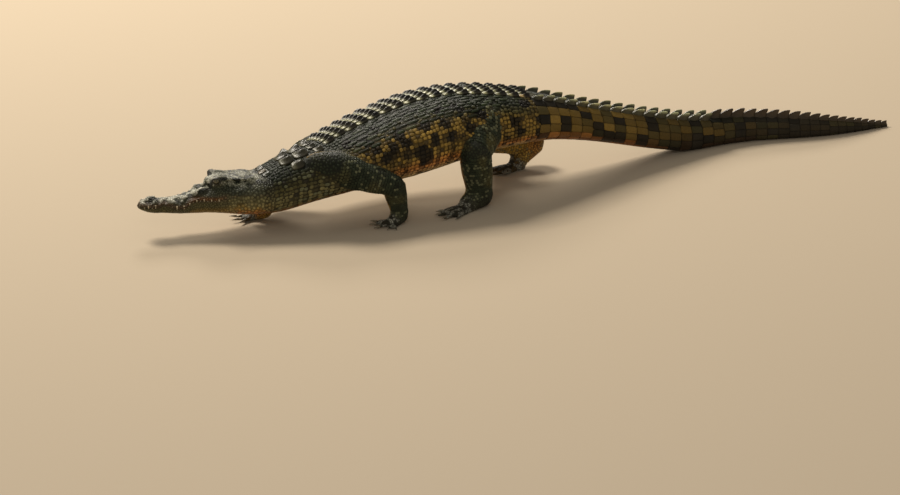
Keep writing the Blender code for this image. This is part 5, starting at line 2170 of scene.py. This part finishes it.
@dataclass(frozen=True)
class Surface:
    """What hide and horn share: grain, dust, relief and an uneven shine."""

    name: str
    fineness: float = 420.0
    creases: float = 0.5
    bump: float = 0.35
    depth: float = 0.0006
    dull: tuple[float, float] = (0.51, 0.73)      # least and most roughness
    gloss_grain: tuple[float, float] = (0.3, 0.7)
    dust: float = 0.03

    def colour(self, tree: Tree, mask: Socket) -> bpy.types.Node:
        """The colour under the dust."""
        raise NotImplementedError

    def material(self) -> Material:
        """Build the material."""
        made, tree, shader = new_material(self.name)
        grain = node(tree, "Group", node_tree=bpy.data.node_groups["HideGrain"], Fineness=self.fineness,
                     Creases=self.creases)
        mask = grain.outputs["Mask"]
        weather = node(tree, "Group", node_tree=bpy.data.node_groups["MudAndDust"], Amount=self.dust,
                       Color=self.colour(tree, mask))
        gloss = node(tree, "MapRange", From_Min=self.gloss_grain[0], From_Max=self.gloss_grain[1],
                     To_Min=self.dull[0], To_Max=self.dull[1], Value=mask)
        relief = node(tree, "Bump", Strength=self.bump, Distance=self.depth, Height=grain.outputs["Height"])
        feed(tree, shader, Base_Color=weather, Roughness=gloss, Normal=relief)
        return made


@dataclass(frozen=True)
class HideFinish(Surface):
    """Hide or scale: the markings, a little lighter and darker with the grain."""

    variation: float = 0.55
    shine: float = 0.45

    def colour(self, tree: Tree, mask: Socket) -> bpy.types.Node:
        """The markings times the grain; the shader takes its shine too."""
        feed(tree, tree.nodes["Principled BSDF"], Specular_IOR_Level=self.shine)
        marking = node(tree, "Attribute", attribute_name="Marking")
        tone = node(tree, "MapRange", From_Min=0.25, From_Max=0.75, To_Min=1.0 - self.variation,
                    To_Max=1.0 + self.variation, Value=mask)
        return node(tree, "VectorMath", operation="SCALE", _0=marking, Scale=tone)


@dataclass(frozen=True)
class HornFinish(Surface):
    """Horn or enamel, streaked and worn from one colour toward another."""

    base: tuple[float, float, float] = (0.0, 0.0, 0.0)
    worn: tuple[float, float, float] = (0.0, 0.0, 0.0)

    def colour(self, tree: Tree, mask: Socket) -> bpy.types.Node:
        """Both colours mixed by the grain."""
        spread = node(tree, "MapRange", From_Min=0.35, From_Max=0.65, Value=mask)
        return node(tree, "Mix", data_type="RGBA", Factor=spread, A=(*self.base, 1.0), B=(*self.worn, 1.0))


@dataclass(frozen=True)
class EyeFinish:
    """A green-gold iris with an upright slit pupil under a clear wet coat."""

    name: str = "eye_wet"
    iris: tuple[float, float, float] = (0.055, 0.046, 0.014)
    rim: tuple[float, float, float] = (0.030, 0.026, 0.010)

    def material(self) -> Material:
        """Build the material."""
        made, tree, shader = new_material(self.name)
        place = node(tree, "UVMap", uv_map="Iris")
        centred = node(tree, "VectorMath", operation="SUBTRACT", _0=place, _1=(0.5, 0.5, 0.0))
        split = node(tree, "SeparateXYZ", Vector=centred).outputs
        length = node(tree, "VectorMath", operation="LENGTH", _0=centred)
        wide = node(tree, "Math", operation="MULTIPLY", _0=split["X"], _1=5.2)
        slit = node(tree, "CombineXYZ", X=wide, Y=split["Y"])
        reach = node(tree, "VectorMath", operation="LENGTH", _0=slit)
        pupil = node(tree, "MapRange", From_Min=0.21, From_Max=0.24, Value=reach)
        ring = node(tree, "MapRange", From_Min=0.25, From_Max=0.38, Value=length)
        fibres = node(tree, "TexNoise", Scale=46.0, Detail=4.0, Vector=place)
        tone = node(tree, "MapRange", To_Min=0.55, To_Max=1.5, Value=fibres)
        bright = node(tree, "VectorMath", operation="SCALE", _0=self.iris, Scale=tone)
        edge = node(tree, "Mix", data_type="RGBA", Factor=ring, A=bright, B=(*self.rim, 1.0))
        dark = node(tree, "Mix", data_type="RGBA", Factor=pupil, A=(0.003, 0.003, 0.003, 1.0), B=edge)
        feed(tree, shader, Base_Color=dark, Roughness=0.12, Coat_Weight=1.0, Coat_Roughness=0.03)
        return made


@dataclass(frozen=True)
class FloorFinish:
    """A plain pale studio floor."""

    name: str = "studio_floor"
    tint: tuple[float, float, float] = (0.47, 0.39, 0.29)

    def material(self) -> Material:
        """Build the material."""
        made, tree, shader = new_material(self.name)
        feed(tree, shader, Base_Color=(*self.tint, 1.0), Roughness=0.9, Specular_IOR_Level=0.1)
        return made


# ------------------------------------------------------------------ the whole animal
@dataclass
class Crocodile:
    """The skin, everything that grows on it, and their finishes."""

    form: BodyForm = field(default_factory=BodyForm)
    legs: list[Limb] = field(default_factory=limbs)

    def build(self) -> None:
        """Build the animal from the skin outward."""
        grain_group()
        weather_group()
        hide = HideFinish("hide_skin", 260.0, 0.7, 0.5, 0.0008, (0.49, 0.71), shine=0.20).material()
        scales = HideFinish("hide_scales", dull=(0.47, 0.69), shine=0.14).material()
        face_scales = HideFinish("hide_face", dull=(0.27, 0.49), shine=0.34).material()
        armour = HideFinish("hide_scutes", 300.0, 0.35, 0.5, 0.0008, (0.26, 0.42), dust=0.10,
                            shine=0.30).material()
        horny = {"fineness": 260.0, "creases": 0.15, "bump": 0.25, "depth": 0.0003,
                 "gloss_grain": (0.0, 1.0), "dust": 0.25}
        horn = HornFinish("horn_claw", dull=(0.34, 0.56), base=(0.035, 0.030, 0.022),
                          worn=(0.11, 0.095, 0.065), **horny).material()
        enamel = HornFinish("horn_tooth", dull=(0.26, 0.48), base=(0.60, 0.52, 0.36),
                            worn=(0.42, 0.33, 0.19), **horny).material()
        self.form.read()
        LOG.info("body read: %.3f m along the spine", self.form.spine_s[-1])
        skin = Skin(self.form, self.legs)
        body, face = skin.build(), Face(skin)
        face.model()
        skin.refresh()
        marks, anatomy = Markings(self.form), Anatomy(self.form, self.legs)
        self._dress_skin(body, hide, marks, anatomy)
        dresser = Dresser(skin, marks, anatomy, np.random.default_rng(SEED))
        coats = Armour(dresser).build(armour, scales)
        coats += TailDress(dresser).build(scales, armour)
        coats += BodyScales(dresser).build(scales)
        coats.append(LimbScales(dresser, self.legs).build(scales))
        coats += FillScales(dresser, self.legs).build(face_scales, scales)
        Eyes(face).build(EyeFinish().material())
        Teeth(skin).build(enamel)
        Claws(self.legs).build(horn)

    def _dress_skin(self, body: Piece, hide: Material, marks: Markings, anatomy: Anatomy) -> None:
        """Paint the skin with the same markings, darker as painted shade, since it shows only in the
        grooves between the scales.

        Args:
            body, hide: The skin and its material.
            marks, anatomy: The pattern, and the finder of places.
        """
        points = points_of(body)
        places = anatomy.locate(points, normals_of(body).astype(float))
        # painted shade: the skin between the scales is darkened, less on the head
        shade = np.where(places.on_body & (places.s < self.form.head_end), 0.50, 0.34)[:, None]
        paint_points(body.data, paint(marks, places, points, self.legs) * shade)
        activate(body)
        bpy.ops.object.shade_smooth()
        body.data.materials.clear()
        body.data.materials.append(hide)
        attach(body, "root")
        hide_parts(*(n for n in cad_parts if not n.startswith(("claw_", "eye_"))))
        LOG.info("skin: %d triangles", sum(len(p.vertices) - 2 for p in body.data.polygons))


@dataclass
class Studio:
    """Floor, lights and camera."""

    target: tuple[float, float, float] = (-0.0665, -0.2329, 0.1908)
    floor: float = 30.0
    lens: float = 235.44
    lens_place: tuple[float, float, float] = (14.54079, -8.97246, 5.66939)    # in the part's own frame
    lens_back: tuple[float, float, float] = (0.8105, -0.4870, 0.3256)    # from the animal to the lens

    def build(self) -> None:
        """Set the stage."""
        ground = primitive(bpy.ops.mesh.primitive_grid_add, x_subdivisions=8, y_subdivisions=8,
                           size=self.floor)
        ground.name = "studio_floor"
        ground.data.materials.append(FloorFinish().material())
        self._light("key", (-6.2, -1.5, 7.6), 3.0, 1020.0, (1.0, 0.92, 0.80))
        self._light("rim", (-7.6, 3.0, 4.7), 2.4, 420.0, (1.0, 0.93, 0.82))
        self._light("fill", (7.0, -5.0, 4.5), 4.5, 165.0, (1.0, 0.97, 0.92), False)
        world = bpy.data.worlds.new("studio_air")
        bpy.context.scene.world = world
        world.use_nodes = True
        sky = world.node_tree.nodes["Background"]
        sky.inputs["Color"].default_value = (1.0, 0.95, 0.86, 1.0)
        sky.inputs["Strength"].default_value = 0.30
        bpy.context.scene.view_settings.view_transform = "Standard"
        self._camera()

    def _light(self, name: str, place: tuple[float, float, float], size: float, power: float,
               tint: tuple[float, float, float], glossy: bool = True) -> None:
        """One soft square light aimed at the animal.

        Args:
            name, place, size: Its name, place and width.
            power, tint: Its watts and colour.
            glossy: Whether it shows in shiny surfaces.
        """
        lamp = bpy.data.lights.new(name, "AREA")
        lamp.shape, lamp.size, lamp.energy, lamp.color = "SQUARE", size, power, tint
        holder = new_object(name, lamp)
        holder.location = place
        holder.visible_glossy = glossy
        aim = Vector(self.target) - Vector(place)
        holder.rotation_euler = aim.to_track_quat("-Z", "Y").to_euler()

    def _camera(self) -> None:
        """A long lens, ahead of the animal's left side and a little above it."""
        lens = bpy.data.cameras.new("camera")
        lens.lens, lens.sensor_width, lens.clip_end = self.lens, 36.0, 100.0
        view = new_object("camera", lens)
        view.location = placed(*self.lens_place)
        view.rotation_euler = (-Vector(self.lens_back)).to_track_quat("-Z", "Y").to_euler()
        bpy.context.scene.camera = view


def main() -> None:
    """Build the animal, then the stage."""
    logging.basicConfig(level=logging.INFO, format="%(message)s")
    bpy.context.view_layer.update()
    Crocodile().build()
    Studio().build()


if __name__ == "__main__":
    main()
